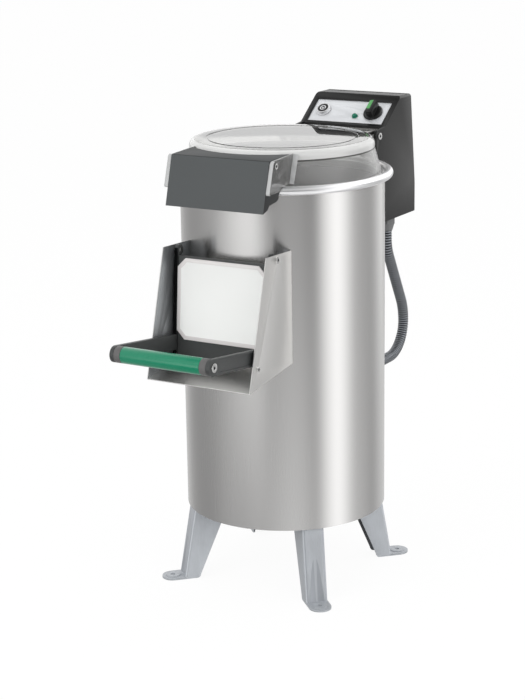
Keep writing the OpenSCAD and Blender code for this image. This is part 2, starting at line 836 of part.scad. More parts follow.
module bracket_outline() {
    polygon(concat([[latch_y + 66, latch_z + 14]],
        arc(latch_front_top[0] + 8, latch_front_top[1] - 8, 8, 90, 180, 6),
        arc(latch_front_low[0] + 5, latch_front_low[1] + 4, 4, 180, 270, 6),
        [[latch_y + 12, latch_z - 49], [latch_y + 20, latch_z - 41.8],
        [latch_y + 50, latch_z - 41.8]]));
}

// The folded front edge of a bracket, from its upper corner to its lower one
module bracket_front() {
    polygon(concat(arc(latch_front_top[0] + 8, latch_front_top[1] - 8, 8, 100, 180, 6),
        arc(latch_front_low[0] + 5, latch_front_low[1] + 4, 4, 180, 255, 6),
        arc(latch_front_low[0] + 5, latch_front_low[1] + 4, 4 - 0.7 * bracket_t, 255, 180, 6),
        arc(latch_front_top[0] + 8, latch_front_top[1] - 8, 8 - bracket_t, 180, 100, 6)));
}

module latch_bracket() color("gainsboro", 0.7) {
    difference() {
        union() {
            translate([latch_half_w + bracket_t / 2, 0, 0]) side(bracket_t) bracket_outline();
            translate([latch_half_w + flange_w / 2, 0, 0]) side(flange_w) bracket_front();
            lid_flange(latch_half_w, bracket_t, flange_w + 2);
        }
        translate([0, latch_y, latch_z]) along_x(3.05, 0, 200);
        lid_clearance();
    }
}

// Keeps brackets and arms off the lid's own wall
module lid_clearance() {
    rotate_extrude() polygon(concat([[0, lid_z], [cone_r0 + 0.3, lid_z],
        [cone_r0 + 0.3, cone_z0], [shoulder_r + 0.3, cone_z1 - 2],
        [shoulder_r + 0.3, lid_top - lid_shoulder]],
        arc(shoulder_r - lid_shoulder, lid_top - lid_shoulder, lid_shoulder + 0.3, 0, 90, 10),
        [[0, lid_top + 0.3]]));
}

module latch_bracket_right() latch_bracket();
module latch_bracket_left() mirror([1, 0, 0]) latch_bracket();

module latch_pivot_screws() color("lightgray") {
    for (s = [0, 1]) mirror([s, 0, 0]) translate([0, latch_y, latch_z]) {
        along_x(3, latch_in - 5, latch_half_w + bracket_t);
        along_x(5.5, latch_half_w + bracket_t, latch_half_w + bracket_t + 2.5);
    }
}

cover_top = [latch_y - 18, latch_z + 11.2];
cover_low = [latch_y - 42, latch_z - 81.8];
cover_back = [latch_y + 70, latch_z + 14.6];

module lid_handle() color("slategray") {
    difference() {
        side(2 * latch_in) polygon(concat([cover_low],
            arc(cover_top[0] + 5, cover_top[1] - 5, 5, 170, 92, 6),
            [cover_back, cover_back - [0, handle_wall],
            [latch_y + 56, latch_z - 10], [latch_y + 53, latch_z - 24],
            [latch_y + 48, latch_z - 27], [latch_y + 41, latch_z - 31.5],
            [latch_y + 33, latch_z - 37],
            [latch_y + 24, latch_z - 46], [latch_y + 17, latch_z - 55],
            [latch_y + 14, latch_z - 63],
            [latch_y + 7, latch_z - 66.5], [latch_y - 19, latch_z - 69.5],
            [latch_y - 25.5, latch_z - 77]]));
        side(2 * (latch_in - 4)) polygon([cover_low + [handle_wall + 0.2, -20],
            cover_low + [handle_wall + 0.2, 0],
            cover_top + [handle_wall + 1, -handle_wall],
            cover_back + [10, -handle_wall],
            cover_back + [10, -200]]);
        translate([0, 0, latch_z - 10]) cylinder(r = shoulder_r + 8.5, h = 60);
        translate([0, latch_y, latch_z]) along_x(3 + run_gap, -200, 200);
    }
}

// The catch bears on the rim's bead from outside
module lid_catch() color("black") {
    wall_y = cover_low[0] + handle_wall;
    face_y = -(drum_r + rim_overhang + 0.5);
    side(50) polygon([[wall_y + 3.4, rim_z - 20], [wall_y + 22, rim_z - 20],
        [face_y, rim_z - 7], [face_y, rim_z + 4], [wall_y + 10, rim_z + 4]]);
}

module hinge_arm() color("silver") {
    root = sqrt(pow(shoulder_r, 2) - hinge_half_w * hinge_half_w);
    difference() {
        union() {
            translate([hinge_half_w + arm_sheet / 2, 0, 0]) side(arm_sheet) {
                translate([hinge_y, hinge_z]) circle(r = 11);
                polygon([[hinge_y, hinge_z + 11], [root + 2, lid_top - 8],
                    [root + 2, cone_z1 - 36], [root + 16, cone_z1 - 36],
                    [hinge_y, hinge_z - 11]]);
            }
            mirror([0, 1, 0]) lid_flange(hinge_half_w, arm_sheet, 14);
        }
        translate([0, hinge_y, hinge_z]) along_x(hinge_pin_r + run_gap, 0, 200);
        lid_clearance();
    }
}

module hinge_arm_right() mirror([0, 0, 0]) hinge_arm();
module hinge_arm_left() mirror([1, 0, 0]) hinge_arm();

module hinge_pins() color("lightgray") {
    for (s = [0, 1]) mirror([s, 0, 0]) translate([0, hinge_y, hinge_z]) {
        along_x(hinge_pin_r, hinge_half_w - 4, box_half);
        difference() {
            along_x(7, box_half, box_half + 3);
            along_x(3, box_half + 1, box_half + 4);
        }
    }
}

// ---- control box ----

module box_side_outline(inset) {
    deep = inset > 0 ? inset + ledge_t : 0;
    crest_in = (deep - inset * cos(slope)) / sin(slope);
    nose_in = (inset * sin(slope) - deep) / cos(slope);
    polygon(concat([[drum_r - 60, box_low + inset], [box_back - 7, box_low + inset],
        [box_back - inset, box_low + 7],
        [box_back - 27 - inset, crest_z - 6]],
        arc(box_back - 35.5 - inset, crest_z - 3.5 - inset, 8, 0, 90, 6),
        [[crest_y + crest_in, crest_z - inset], [nose_y + inset, nose_z + nose_in],
        [nose_y + inset, rim_z - 12], [drum_r - 60, rim_z - 12]]));
}

module ear_outline() {
    polygon(concat([[drum_r - 60, box_low], [box_back - 40, box_low],
        [nose_y + 10, nose_z]], [[nose_y, nose_z]],
        arc(hinge_y - 7, hinge_z + 6, 6, 90, 180, 6),
        [[hinge_y - 13, hinge_z - 32], [hinge_y - 13, rim_z - 12], [drum_r - 60, rim_z - 12]]));
}

module control_box_cover() color("#4a4a4a") {
    difference() {
        intersection() {
            union() {
                side(box_w) box_side_outline(0);
                side(box_w) ear_outline();
            }
            translate([0, (box_back + drum_r) / 2 - 50, 0]) linear_extrude(height = 2 * drum_top)
                round_rect(box_w, box_back - drum_r + 100, 8);
            translate([0, box_back + 100, crest_z - 200]) rotate([90, 0, 0])
                linear_extrude(height = box_depth + 260) round_rect(box_w, 400, 6);
        }
        side(box_w - 2 * box_wall) box_side_outline(box_wall);
        translate([-box_half + ear_t, drum_r - 80, rim_z - 14])
            cube([box_w - 2 * ear_t, nose_y - drum_r + 80, 200]);
        on_fascia() translate([0, 0, -fascia_deep - fascia_t])
            linear_extrude(height = 20) square([fascia_w + 0.4, fascia_h + 0.4], center = true);
        on_fascia() translate([0, 0, -40])
            linear_extrude(height = 50) square([fascia_w - 10, fascia_h - 10], center = true);
        cylinder(r = drum_r + 0.3, h = rim_z - 10);
        translate([0, hinge_y, hinge_z]) along_x(hinge_pin_r + 0.1, -200, 200);
        translate([hose_x, hose_y, box_low - 1]) cylinder(r = 9.2, h = box_wall + 2);
        translate([spray_x, valve_y, box_low - 1]) cylinder(r = inlet_d / 2 + 0.3, h = box_wall + 2);
        translate([0, valve_y, box_low - 1]) cylinder(r = 8.2, h = box_wall + 2);
    }
}

// Places a part on the sloping face, x to the right, y up the slope, z out of it
module on_fascia() translate([0, nose_y + fascia_mid * cos(slope), nose_z + fascia_mid * sin(slope)])
    rotate([slope, 0, 0]) children();

module control_box_plate() color("silver") {
    t = 2;
    step_z = hinge_z - 19;
    back_y = nose_y - 3.5;
    difference() {
        union() {
            side(2 * inner_half) translate([plate_y, box_low + box_wall + slip])
                square([t, rim_z - box_low - box_wall - 15]);
            side(2 * plate_half) polygon([[plate_y, box_low + box_wall + slip], [plate_y, step_z],
                [back_y, step_z], [back_y, nose_z - 5], [back_y + t, nose_z - 5],
                [back_y + t, step_z - t], [plate_y + t, step_z - t],
                [plate_y + t, box_low + box_wall + slip]]);
            for (x = [-50, 50], z = [box_low + 36, box_low + 80])
                translate([x, (drum_r + plate_y) / 2 - 10, z])
                    along_y(8, plate_y - drum_r + 20);
        }
        cylinder(r = drum_r + 0.15, h = rim_z - 10);
        translate([spray_x, plate_y, spray_z]) along_y(6.5, 20);
    }
}

module fascia_plate() color("whitesmoke") {
    on_fascia() translate([0, 0, -fascia_deep - fascia_t]) linear_extrude(height = fascia_t)
        difference() {
            square([fascia_w, fascia_h], center = true);
            translate([button_x, 0]) circle(r = 11);
            translate([lamp_x, lamp_s]) circle(r = 5.1);
            translate([knob_x, 0]) circle(r = 5.2);
        }
}

module button_bezel() color("silver") {
    low = -12 - button_travel;
    on_fascia() translate([button_x, 0, -fascia_deep]) {
        rotate_extrude() polygon([[10, low], [10.9, low], [10.9, 0], [bezel_d / 2, 0],
            [bezel_d / 2, 3], [bezel_d / 2 - 2, 8], [10, 8]]);
    }
}

module stop_button() color("#222222") {
    on_fascia() translate([button_x, 0, -fascia_deep]) rotate_extrude()
        polygon([[0, -11], [10 - run_gap, -11], [10 - run_gap, 7.4], [9, 8.4], [6.5, 8.4],
            [6.2, 7.8], [0, 7.8]]);
}

module button_contact_block() color("dimgray") {
    on_fascia() translate([button_x, 0, -fascia_deep - 12 - button_travel - 14])
        cube([28, 28, 28], center = true);
}

module signal_lamp() color("mediumseagreen") {
    on_fascia() translate([lamp_x, lamp_s, -fascia_deep]) {
        rotate_extrude() polygon(concat([[0, 0], [6.5, 0], [6.5, 1.2]],
            arc(0, 1.2, 6, 0, 90, 6) * 1, [[0, 0]]));
        translate([0, 0, -18]) cylinder(r = 5, h = 18.5);
    }
}

module knob_body(shrink) {
    r = knob_d / 2;
    intersection() {
        cylinder(r1 = r - 0.5, r2 = r - 2.5, h = knob_h);
        translate([shrink - knob_grip / 2, -r, 0]) cube([knob_grip - 2 * shrink, 2 * r, knob_h]);
    }
}

// The corner of the grip that the pointer fills
module knob_pocket(gap) {
    translate([-knob_grip / 2 - 1, -7 + gap, knob_h - 6 + gap])
        cube([knob_grip / 2 + 1 - gap, knob_d, 12]);
}

module timer_knob() color("#1c1c1c") {
    r = knob_d / 2;
    on_fascia() translate([knob_x, 0, 0.6 - fascia_deep]) {
        rotate_extrude() polygon([[0, 0], [r, 0], [r, 3], [r - 2, 5.5], [0, 5.5]]);
        difference() {
            knob_body(0);
            knob_pocket(0);
        }
        translate([0, 0, -26]) cylinder(r = 3, h = 27);
    }
}

module knob_pointer() color("limegreen") {
    on_fascia() translate([knob_x, 0, 0.6 - fascia_deep]) intersection() {
        knob_body(0);
        knob_pocket(0.05);
    }
}

module timer_body() color("dimgray") {
    on_fascia() translate([knob_x, 0, -fascia_deep - fascia_t]) difference() {
        union() {
            translate([0, 0, -8.2 - 13]) cube([46, 46, 26], center = true);
            translate([0, 0, -9]) cylinder(r = 5, h = 10);
        }
        translate([0, 0, -28]) cylinder(r = 3 + run_gap, h = 32);
    }
}

module terminal_block() color("ivory") {
    translate([0, plate_y + 30, box_low + box_wall + 9]) difference() {
        cube([84, 24, 18], center = true);
        for (i = [0:5]) translate([-35 + 14 * i, 0, 4]) cylinder(r = 4, h = 10);
    }
}

module water_valve() color("steelblue") {
    translate([spray_x, valve_y, 0]) {
        difference() {
            union() {
                translate([0, 0, box_low - 26]) cylinder(d = inlet_d, h = 26 + box_wall + 10);
                translate([0, 0, box_low - 6]) cylinder(r = inlet_d / 2 + 5, h = 6, $fn = 6);
            }
            translate([0, 0, box_low - 27]) cylinder(r = inlet_d / 2 - 3.5, h = 24);
        }
        translate([0, 0, box_low + box_wall + 24]) cube([40, 44, 34], center = true);
        translate([0, 26, box_low + box_wall + 24]) along_y(15, 34);
        translate([0, 0, box_low + box_wall + 40]) cylinder(r = 8, h = 12);
    }
}

module spray_nozzle() color("silver") {
    r = 6;
    bend = 20;
    low = box_low + box_wall + 52;
    translate([spray_x, valve_y, low]) cylinder(r = r, h = spray_z - bend - low);
    translate([spray_x, valve_y - bend, spray_z - bend]) rotate([90, 0, 90])
        rotate_extrude(angle = 90) translate([bend, 0]) circle(r = r);
    translate([spray_x, 0, spray_z]) rotate([90, 0, 0])
        translate([0, 0, -(valve_y - bend)]) cylinder(r = r, h = valve_y - bend - drum_r + 14);
    translate([spray_x, drum_r - 19, spray_z]) rotate([90, 0, 0])
        cylinder(r1 = r, r2 = r + 4, h = 10, center = true);
}

// ---- conduit between the control box and the drum ----

function hose_turn_y() = hose_r1 * (1 - cos(hose_lean));
function hose_bulge_y() = hose_y + hose_turn_y() + hose_run * sin(hose_lean)
    + hose_r2 * (1 - cos(hose_lean));

// A bend of the conduit about a centre in the plane of its route
module hose_bend(cy, cz, r, a0, sweep) {
    translate([hose_x, cy, cz]) rotate([90, 0, 90]) rotate([0, 0, a0])
        rotate_extrude(angle = sweep) translate([r, 0]) circle(r = hose_r);
}

// A coupling ring of the conduit across a joint, at (y, z) with its axis at lean degrees
module hose_collar(y, z, lean) {
    translate([hose_x, y, z]) rotate([lean, 0, 0])
        cylinder(r = hose_r + 0.7, h = 5, center = true);
}

module hose_conduit() color("slategray") {
    mid_y = hose_y + hose_turn_y();
    mid_z = hose_start - hose_r1 * sin(hose_lean);
    low_y = mid_y + hose_run * sin(hose_lean);
    low_z = mid_z - hose_run * cos(hose_lean);
    bulge_y = hose_bulge_y();
    in_z = hose_in_z;
    wall_y = sqrt(drum_r * drum_r - hose_x * hose_x) + 26;
    translate([hose_x, hose_y, hose_start])
        cylinder(r = hose_r, h = box_low - hose_gland_h - hose_start);
    hose_bend(hose_y + hose_r1, hose_start, hose_r1, 180, hose_lean);
    translate([hose_x, mid_y, mid_z]) rotate([180 + hose_lean, 0, 0])
        cylinder(r = hose_r, h = hose_run);
    hose_bend(bulge_y - hose_r2, in_z + hose_r3, hose_r2, 0, hose_lean);
    hose_bend(bulge_y - hose_r3, in_z + hose_r3, hose_r3, -90, 90);
    translate([hose_x, (bulge_y - hose_r3 + wall_y) / 2, in_z])
        along_y(hose_r, bulge_y - hose_r3 - wall_y);
    hose_collar(hose_y, hose_start, 0);
    hose_collar(mid_y, mid_z, hose_lean);
    hose_collar(low_y, low_z, hose_lean);
    hose_collar(bulge_y, in_z + hose_r3, 0);
    hose_collar(bulge_y - hose_r3, in_z, 90);
}

module hose_glands() color("lightgray") {
    wall_y = sqrt(drum_r * drum_r - hose_x * hose_x);
    translate([hose_x, hose_y, box_low]) {
        translate([0, 0, -13]) cylinder(r = hose_r + 7.5, h = 13, $fn = 6);
        translate([0, 0, -hose_gland_h]) cylinder(r1 = hose_r + 1, r2 = hose_r + 5.5,
            h = hose_gland_h - 13);
        cylinder(r = 9, h = box_wall);
        translate([0, 0, box_wall]) cylinder(r = 13, h = 5, $fn = 6);
    }
    difference() {
        translate([hose_x, 0, hose_in_z]) {
            translate([0, wall_y + 13, 0]) along_y(hose_r + 2, 26);
            translate([0, wall_y, 0]) along_y(hose_r + 0.8, 40);
        }
        difference() {
            cylinder(r = drum_r + 0.2, h = drum_top);
            translate([hose_x, drum_r, hose_in_z]) along_y(hose_r + 0.9, 100);
        }
    }
}

module supply_gland() color("#303030") {
    translate([0, valve_y, box_low]) difference() {
        union() {
            translate([0, 0, -8]) cylinder(r = 12, h = 8, $fn = 6);
            translate([0, 0, -20]) cylinder(r1 = 8, r2 = 10.5, h = 12.5);
            cylinder(r = 8, h = box_wall);
            translate([0, 0, box_wall]) cylinder(r = 11, h = 4, $fn = 6);
        }
        translate([0, 0, -21]) cylinder(r = 5, h = 40);
    }
}

// ---- lid safety switch ----

sensor_x = hinge_half_w - 9;

module lid_sensor() color("#303030") {
    translate([sensor_x, nose_y - 7.5, hinge_z]) cube([28, 7.6, 14], center = true);
}

module lid_magnet() color("#303030") {
    translate([hinge_half_w - 12, hinge_y + 5.5, hinge_z - 7]) cube([12, 7.5, 14]);
}

drum_shell();
rim_ring();
abrasive_liner();
chamber_floor();
base_plate();
leg_front_left();
leg_front_right();
leg_back_left();
leg_back_right();
frame_bolts();
bearing_housing();
shaft_bearings();
shaft_seal();
drive_shaft();
abrasive_rotor();
rotor_cap();
driven_pulley();
drive_belt();
motor_pulley();
motor_shaft();
motor_body();
motor_fan_cover();
drain_pipe();
drain_grommet();
discharge_frame();
chute();
chute_screws();
discharge_door();
door_face_panel();
door_seal();
handle_grip();
handle_caps();
handle_rod();
lid_dome();
latch_bracket_left();
latch_bracket_right();
lid_handle();
lid_catch();
latch_pivot_screws();
hinge_arm_left();
hinge_arm_right();
hinge_pins();
control_box_cover();
control_box_plate();
fascia_plate();
button_bezel();
stop_button();
button_contact_block();
signal_lamp();
timer_knob();
knob_pointer();
timer_body();
terminal_block();
water_valve();
spray_nozzle();
hose_conduit();
hose_glands();
supply_gland();
lid_sensor();
lid_magnet();
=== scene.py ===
import json
import math

import bpy
from mathutils import Matrix, Vector

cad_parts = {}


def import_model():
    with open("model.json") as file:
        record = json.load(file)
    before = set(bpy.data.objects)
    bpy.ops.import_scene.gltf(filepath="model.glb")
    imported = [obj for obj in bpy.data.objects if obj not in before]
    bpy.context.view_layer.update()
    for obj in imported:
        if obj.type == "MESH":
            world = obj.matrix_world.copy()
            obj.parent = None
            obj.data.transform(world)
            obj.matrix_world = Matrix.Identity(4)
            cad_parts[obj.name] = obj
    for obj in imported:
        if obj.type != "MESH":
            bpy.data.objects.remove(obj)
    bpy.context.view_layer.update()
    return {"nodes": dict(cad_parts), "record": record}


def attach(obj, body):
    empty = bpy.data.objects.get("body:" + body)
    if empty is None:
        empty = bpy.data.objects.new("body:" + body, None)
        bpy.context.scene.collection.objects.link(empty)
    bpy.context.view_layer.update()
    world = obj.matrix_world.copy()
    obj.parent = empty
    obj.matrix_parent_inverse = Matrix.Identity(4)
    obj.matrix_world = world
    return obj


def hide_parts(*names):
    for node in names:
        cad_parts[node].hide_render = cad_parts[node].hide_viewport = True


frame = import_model()
cadNodes = frame["nodes"]
bodyOf = {node: body for body, nodes in frame["record"]["behaviour"]["bodies"].items() for node in nodes}
slotOf = {row["node"]: row["material_slot"] for row in frame["record"]["subparts"]}

# helpers for modelling with the operators; gaps are in metres and the angle is in degrees
merging = {"gap": 0.00002, "cadGap": 0.000004, "flatAngle": 0.4}


def clearSelection():
    if bpy.context.object and bpy.context.object.mode != "OBJECT":
        bpy.ops.object.mode_set(mode="OBJECT")
    bpy.ops.object.select_all(action="DESELECT")


def pick(piece):
    clearSelection()
    piece.select_set(True)
    bpy.context.view_layer.objects.active = piece


def startEdit(piece):
    # opens a piece in edit mode with all of it selected
    pick(piece)
    bpy.ops.object.mode_set(mode="EDIT")
    bpy.ops.mesh.select_mode(type="VERT")
    bpy.ops.mesh.select_all(action="SELECT")


def endEdit():
    bpy.ops.object.mode_set(mode="OBJECT")


def selectFaces(piece, test):
    # in edit mode, selects the faces whose normal passes the test
    bpy.ops.mesh.select_mode(type="FACE")
    bpy.ops.mesh.select_all(action="DESELECT")
    bpy.ops.object.mode_set(mode="OBJECT")
    for face in piece.data.polygons:
        face.select = test(face.normal)
    bpy.ops.object.mode_set(mode="EDIT")


def settle(piece):
    # puts the place of a piece into its mesh
    pick(piece)
    bpy.ops.object.transform_apply(location=True, rotation=True, scale=True)


def modify(piece, name, kind, **values):
    modifier = piece.modifiers.new(name, kind)
    for key, value in values.items():
        setattr(modifier, key, value)


def applyModifiers(piece):
    pick(piece)
    for modifier in list(piece.modifiers):
        bpy.ops.object.modifier_apply(modifier=modifier.name)


def closeUp(piece):
    # merges doubles and turns the faces outwards
    startEdit(piece)
    bpy.ops.mesh.remove_doubles(threshold=merging["gap"])
    bpy.ops.mesh.normals_make_consistent(inside=False)
    endEdit()


def smooth(piece, angle=40):
    pick(piece)
    bpy.ops.object.shade_smooth_by_angle(angle=math.radians(angle))


def softenEdges(piece, width, segments=2, angle=30):
    modify(piece, "edge", "BEVEL", width=width, segments=segments, limit_method="ANGLE",
           angle_limit=math.radians(angle))
    applyModifiers(piece)
    smooth(piece)


def named(name):
    piece = bpy.context.object
    piece.name = name
    piece.data.name = name
    return piece


def chain(name, points):
    # a line of edges, drawn by extruding one vertex from point to point
    clearSelection()
    bpy.ops.mesh.primitive_plane_add(size=0.01, location=points[0])
    piece = named(name)
    settle(piece)
    startEdit(piece)
    bpy.ops.mesh.merge(type="CENTER")
    for a, b in zip(points, points[1:]):
        bpy.ops.mesh.extrude_vertices_move(TRANSFORM_OT_translate={"value": Vector(b) - Vector(a)})
    return piece


def slab(name, outline, push):
    # a flat outline, filled and pushed out into a solid
    piece = chain(name, outline)
    bpy.ops.mesh.select_all(action="SELECT")
    bpy.ops.mesh.edge_face_add()
    bpy.ops.mesh.extrude_region_move(TRANSFORM_OT_translate={"value": push})
    endEdit()
    closeUp(piece)
    return piece


def section(name, outline, half):
    # a (y, z) outline as a solid from -half to half along x
    return slab(name, [(-half, y, z) for y, z in outline], (2 * half, 0, 0))


def lathe(name, profile, steps, closed=True):
    # a (radius, z) profile spun about the upright axis
    line = profile + [profile[0]] if closed else profile
    piece = chain(name, [(r, 0, z) for r, z in line])
    bpy.ops.mesh.select_all(action="SELECT")
    bpy.ops.mesh.spin(steps=steps, angle=math.tau, center=(0, 0, 0), axis=(0, 0, 1))
    endEdit()
    closeUp(piece)
    return piece


def arcPoints(cx, cy, r, start, end, count):
    # an arc of count steps about (cx, cy), from one angle to another in degrees
    angles = [math.radians(start + (end - start) * i / count) for i in range(count + 1)]
    return [(cx + r * math.cos(a), cy + r * math.sin(a)) for a in angles]


def cut(piece, *cutters):
    for cutter in cutters:
        modify(piece, "cut", "BOOLEAN", operation="DIFFERENCE", solver="EXACT", object=cutter)
        applyModifiers(piece)
        bpy.data.objects.remove(cutter)


def rod(name, start, end, radius, vertices=48):
    # a cylinder between two points
    start, end = Vector(start), Vector(end)
    clearSelection()
    bpy.ops.mesh.primitive_cylinder_add(
        radius=radius, depth=(end - start).length, vertices=vertices,
        location=(start + end) / 2, rotation=(end - start).to_track_quat("Z", "Y").to_euler())
    piece = named(name)
    settle(piece)
    return piece


def crossBore(y, z, radius, reach=0.2):
    # a cutter that goes right through along x
    return rod("bore", (-reach, y, z), (reach, y, z), radius)


def block(name, low, high):
    low, high = Vector(low), Vector(high)
    clearSelection()
    bpy.ops.mesh.primitive_cube_add(size=1, location=(low + high) / 2, scale=high - low)
    piece = named(name)
    settle(piece)
    return piece


def place(piece, matrix):
    # moves a piece that was modelled in a part's own frame to where it belongs
    piece.matrix_world = matrix @ piece.matrix_world
    settle(piece)


def joined(name, pieces):
    clearSelection()
    for piece in pieces:
        piece.select_set(True)
    bpy.context.view_layer.objects.active = pieces[0]
    bpy.ops.object.join()
    return named(name)


def copyOf(node, name):
    # a merged copy of a CAD node, ready to be finished
    source = cadNodes[node]
    piece = source.copy()
    piece.data = source.data.copy()
    piece.parent = None
    piece.matrix_world = Matrix.Identity(4)
    bpy.context.scene.collection.objects.link(piece)
    piece.name = name
    piece.data.name = name
    piece.data.materials.clear()
    pick(piece)
    if piece.data.has_custom_normals:
        bpy.ops.mesh.customdata_custom_splitnormals_clear()
    startEdit(piece)
    bpy.ops.mesh.remove_doubles(threshold=merging["cadGap"])
    bpy.ops.mesh.dissolve_limited(angle_limit=math.radians(merging["flatAngle"]))
    endEdit()
    return piece


def paint(piece, names):
    # gives a piece its finishes; the first one goes on all its faces
    piece.data.materials.clear()
    for name in names.split():
        piece.data.materials.append(finish[name])


def dress(piece, *nodes, body=None, slot=None):
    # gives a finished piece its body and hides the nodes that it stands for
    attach(piece, body or bodyOf[nodes[0]])
    if nodes:
        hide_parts(*nodes)


def refined(node, name, names, width, segments=2, angle=30):
    # a CAD node's own shape with softened edges and finishes
    piece = copyOf(node, name)
    softenEdges(piece, width, segments, angle)
    paint(piece, names)
    dress(piece, node)
    return piece


socket = {"depth": 0.0016, "past": 0.004, "edge": 0.0005, "band": 0.003, "margin": 1.02, "skin": 0.0001}


def shadeSocketFaces(piece, y, z, radius, reach):
    # gives the faces of the socket in a screw's head, seen along x, the piece's second finish, a dark steel
    # that is painted shade in the recess
    for face in piece.data.polygons:
        aside = math.hypot(face.center.y - y, face.center.z - z)
        if aside < radius and reach - socket["band"] < abs(face.center.x) < reach:
            face.material_index = 1


def screws(node, name, heads, extra=""):
    # the node's screws with hexagon sockets: (y, z) of the axis, socket radius, outer end of the head
    piece = copyOf(node, name)
    for y, z, radius, tip in heads:
        for side in (-1, 1):
            inner, outer = side * (tip - socket["depth"]), side * (tip + socket["past"])
            cut(piece, rod("socket", (inner, y, z), (outer, y, z), radius, 6))
    softenEdges(piece, socket["edge"], 2, 40)
    paint(piece, "brightSteel deepSteel " + extra)
    dress(piece, node)
    for y, z, radius, tip in heads:
        shadeSocketFaces(piece, y, z, radius * socket["margin"], tip - socket["skin"])
    return piece


# materials

aroundRadius = 0.2  # a pattern that runs round the upright axis is measured on this radius


def tone(r, g, b):
    # display values from 0 to 255 as the linear values that nodes take
    return tuple(c / 255 / 12.92 if c < 10.3 else ((c / 255 + 0.055) / 1.055) ** 2.4 for c in (r, g, b))


def grey(level):
    return (level, level, level)


class Nodes:
    # the node tree of a material or of the world
    def __init__(self, owner, output="ShaderNodeOutputMaterial"):
        self.owner = owner
        owner.use_nodes = True
        self.tree = owner.node_tree
        self.tree.nodes.clear()
        self.output = self.add(output)

    def add(self, kind, **values):
        node = self.tree.nodes.new(kind)
        for key, value in values.items():
            setattr(node, key, value)
        return node

    def link(self, source, target):
        self.tree.links.new(source, target)

    def feed(self, target, value):
        # the value is another node's output, a number or a colour
        if isinstance(value, bpy.types.NodeSocket):
            self.link(value, target)
        else:
            target.default_value = (*value, 1) if target.type == "RGBA" else value

    def show(self, shader):
        self.link(shader, self.output.inputs["Surface"])

    def math(self, operation, *values):
        node = self.add("ShaderNodeMath", operation=operation)
        for target, value in zip(node.inputs, values):
            self.feed(target, value)
        return node.outputs[0]

    def shared(self, a, b, share):
        # so much of a, and the rest of b
        return self.math("ADD", self.math("MULTIPLY", a, share), self.math("MULTIPLY", b, 1 - share))

    def parts(self, source):
        node = self.add("ShaderNodeSeparateXYZ")
        self.link(source, node.inputs[0])
        return node.outputs

    def spot(self, scale, around):
        # object coordinates, or the way round, the radius and the height about the upright axis
        source = self.add("ShaderNodeTexCoord").outputs["Object"]
        if around:
            x, y, z = self.parts(source)
            angle = self.math("ARCTAN2", x, self.math("MULTIPLY", y, -1.0))
            square = self.math("ADD", self.math("MULTIPLY", x, x), self.math("MULTIPLY", y, y))
            turned = self.add("ShaderNodeCombineXYZ")
            self.link(self.math("MULTIPLY", angle, aroundRadius), turned.inputs[0])
            self.link(self.math("SQRT", square), turned.inputs[1])
            self.link(z, turned.inputs[2])
            source = turned.outputs[0]
        mapping = self.add("ShaderNodeMapping")
        mapping.inputs["Scale"].default_value = scale if isinstance(scale, tuple) else grey(scale)
        self.link(source, mapping.inputs["Vector"])
        return mapping.outputs["Vector"]

    def noise(self, scale, detail=3.0, rough=0.55, around=False):
        # one scale for all directions, or one for each
        node = self.add("ShaderNodeTexNoise")
        for name, value in (("Scale", 1.0), ("Detail", detail), ("Roughness", rough)):
            node.inputs[name].default_value = value
        self.link(self.spot(scale, around), node.inputs["Vector"])
        return node.outputs["Fac"]

    def ranged(self, source, low, high, fromLow=0.3, fromHigh=0.7, curve="LINEAR"):
        node = self.add("ShaderNodeMapRange", interpolation_type=curve)
        for name, value in (("From Min", fromLow), ("From Max", fromHigh), ("To Min", low), ("To Max", high)):
            node.inputs[name].default_value = value
        self.link(source, node.inputs["Value"])
        return node.outputs["Result"]

    def blendColours(self, factor, a, b):
        node = self.add("ShaderNodeMix", data_type="RGBA")
        for name, value in (("Factor", factor), ("A", a), ("B", b)):
            self.feed(node.inputs[name], value)
        return node.outputs["Result"]

    def mixShaders(self, factor, a, b):
        node = self.add("ShaderNodeMixShader")
        for target, source in zip(node.inputs, (factor, a, b)):
            self.link(source, target)
        return node.outputs[0]

    def background(self, colour, strength=1.0):
        node = self.add("ShaderNodeBackground")
        self.feed(node.inputs["Color"], colour)
        node.inputs["Strength"].default_value = strength
        return node.outputs[0]


def surface(name, look):
    nodes = Nodes(bpy.data.materials.new(name))
    shader = nodes.add("ShaderNodeBsdfPrincipled")
    nodes.show(shader.outputs[0])
    around = look.get("around", False)
    cloud = nodes.noise(look.get("cloud", 9), 2.0, around=around)
    grain = nodes.noise(look["grain"], 3.0, 0.6, around)
    base = tone(*look["colour"])
    darker = tuple(c * (1 - look["vary"]) for c in base)
    paler = tuple(min(1.0, c * (1 + look["vary"])) for c in base)
    mottled = nodes.ranged(nodes.shared(cloud, grain, 0.6), 0, 1)
    nodes.link(nodes.blendColours(mottled, darker, paler), shader.inputs["Base Color"])
    wearAndGlint = nodes.ranged(nodes.shared(cloud, grain, 0.4), *look["rough"])
    nodes.link(wearAndGlint, shader.inputs["Roughness"])
    bump = nodes.add("ShaderNodeBump")
    bump.inputs["Strength"].default_value = look.get("bumpStrength", 0.35)
    bump.inputs["Distance"].default_value = look["bump"]
    nodes.link(grain, bump.inputs["Height"])
    nodes.link(bump.outputs[0], shader.inputs["Normal"])
    for name, key, usual in (("Metallic", "metallic", 0.0), ("IOR", "ior", 1.5),
                             ("Coat Weight", "coat", 0.0), ("Coat Roughness", "coatRough", 0.1)):
        shader.inputs[name].default_value = look.get(key, usual)
    if "brushed" in look:  # brushed round the upright axis, so highlights draw out upwards
        strokes = nodes.add("ShaderNodeTangent", direction_type="RADIAL", axis="Z")
        nodes.link(strokes.outputs[0], shader.inputs["Tangent"])
        shader.inputs["Anisotropic"].default_value = look["brushed"]
        shader.inputs["Anisotropic Rotation"].default_value = 0.25
    return nodes.owner


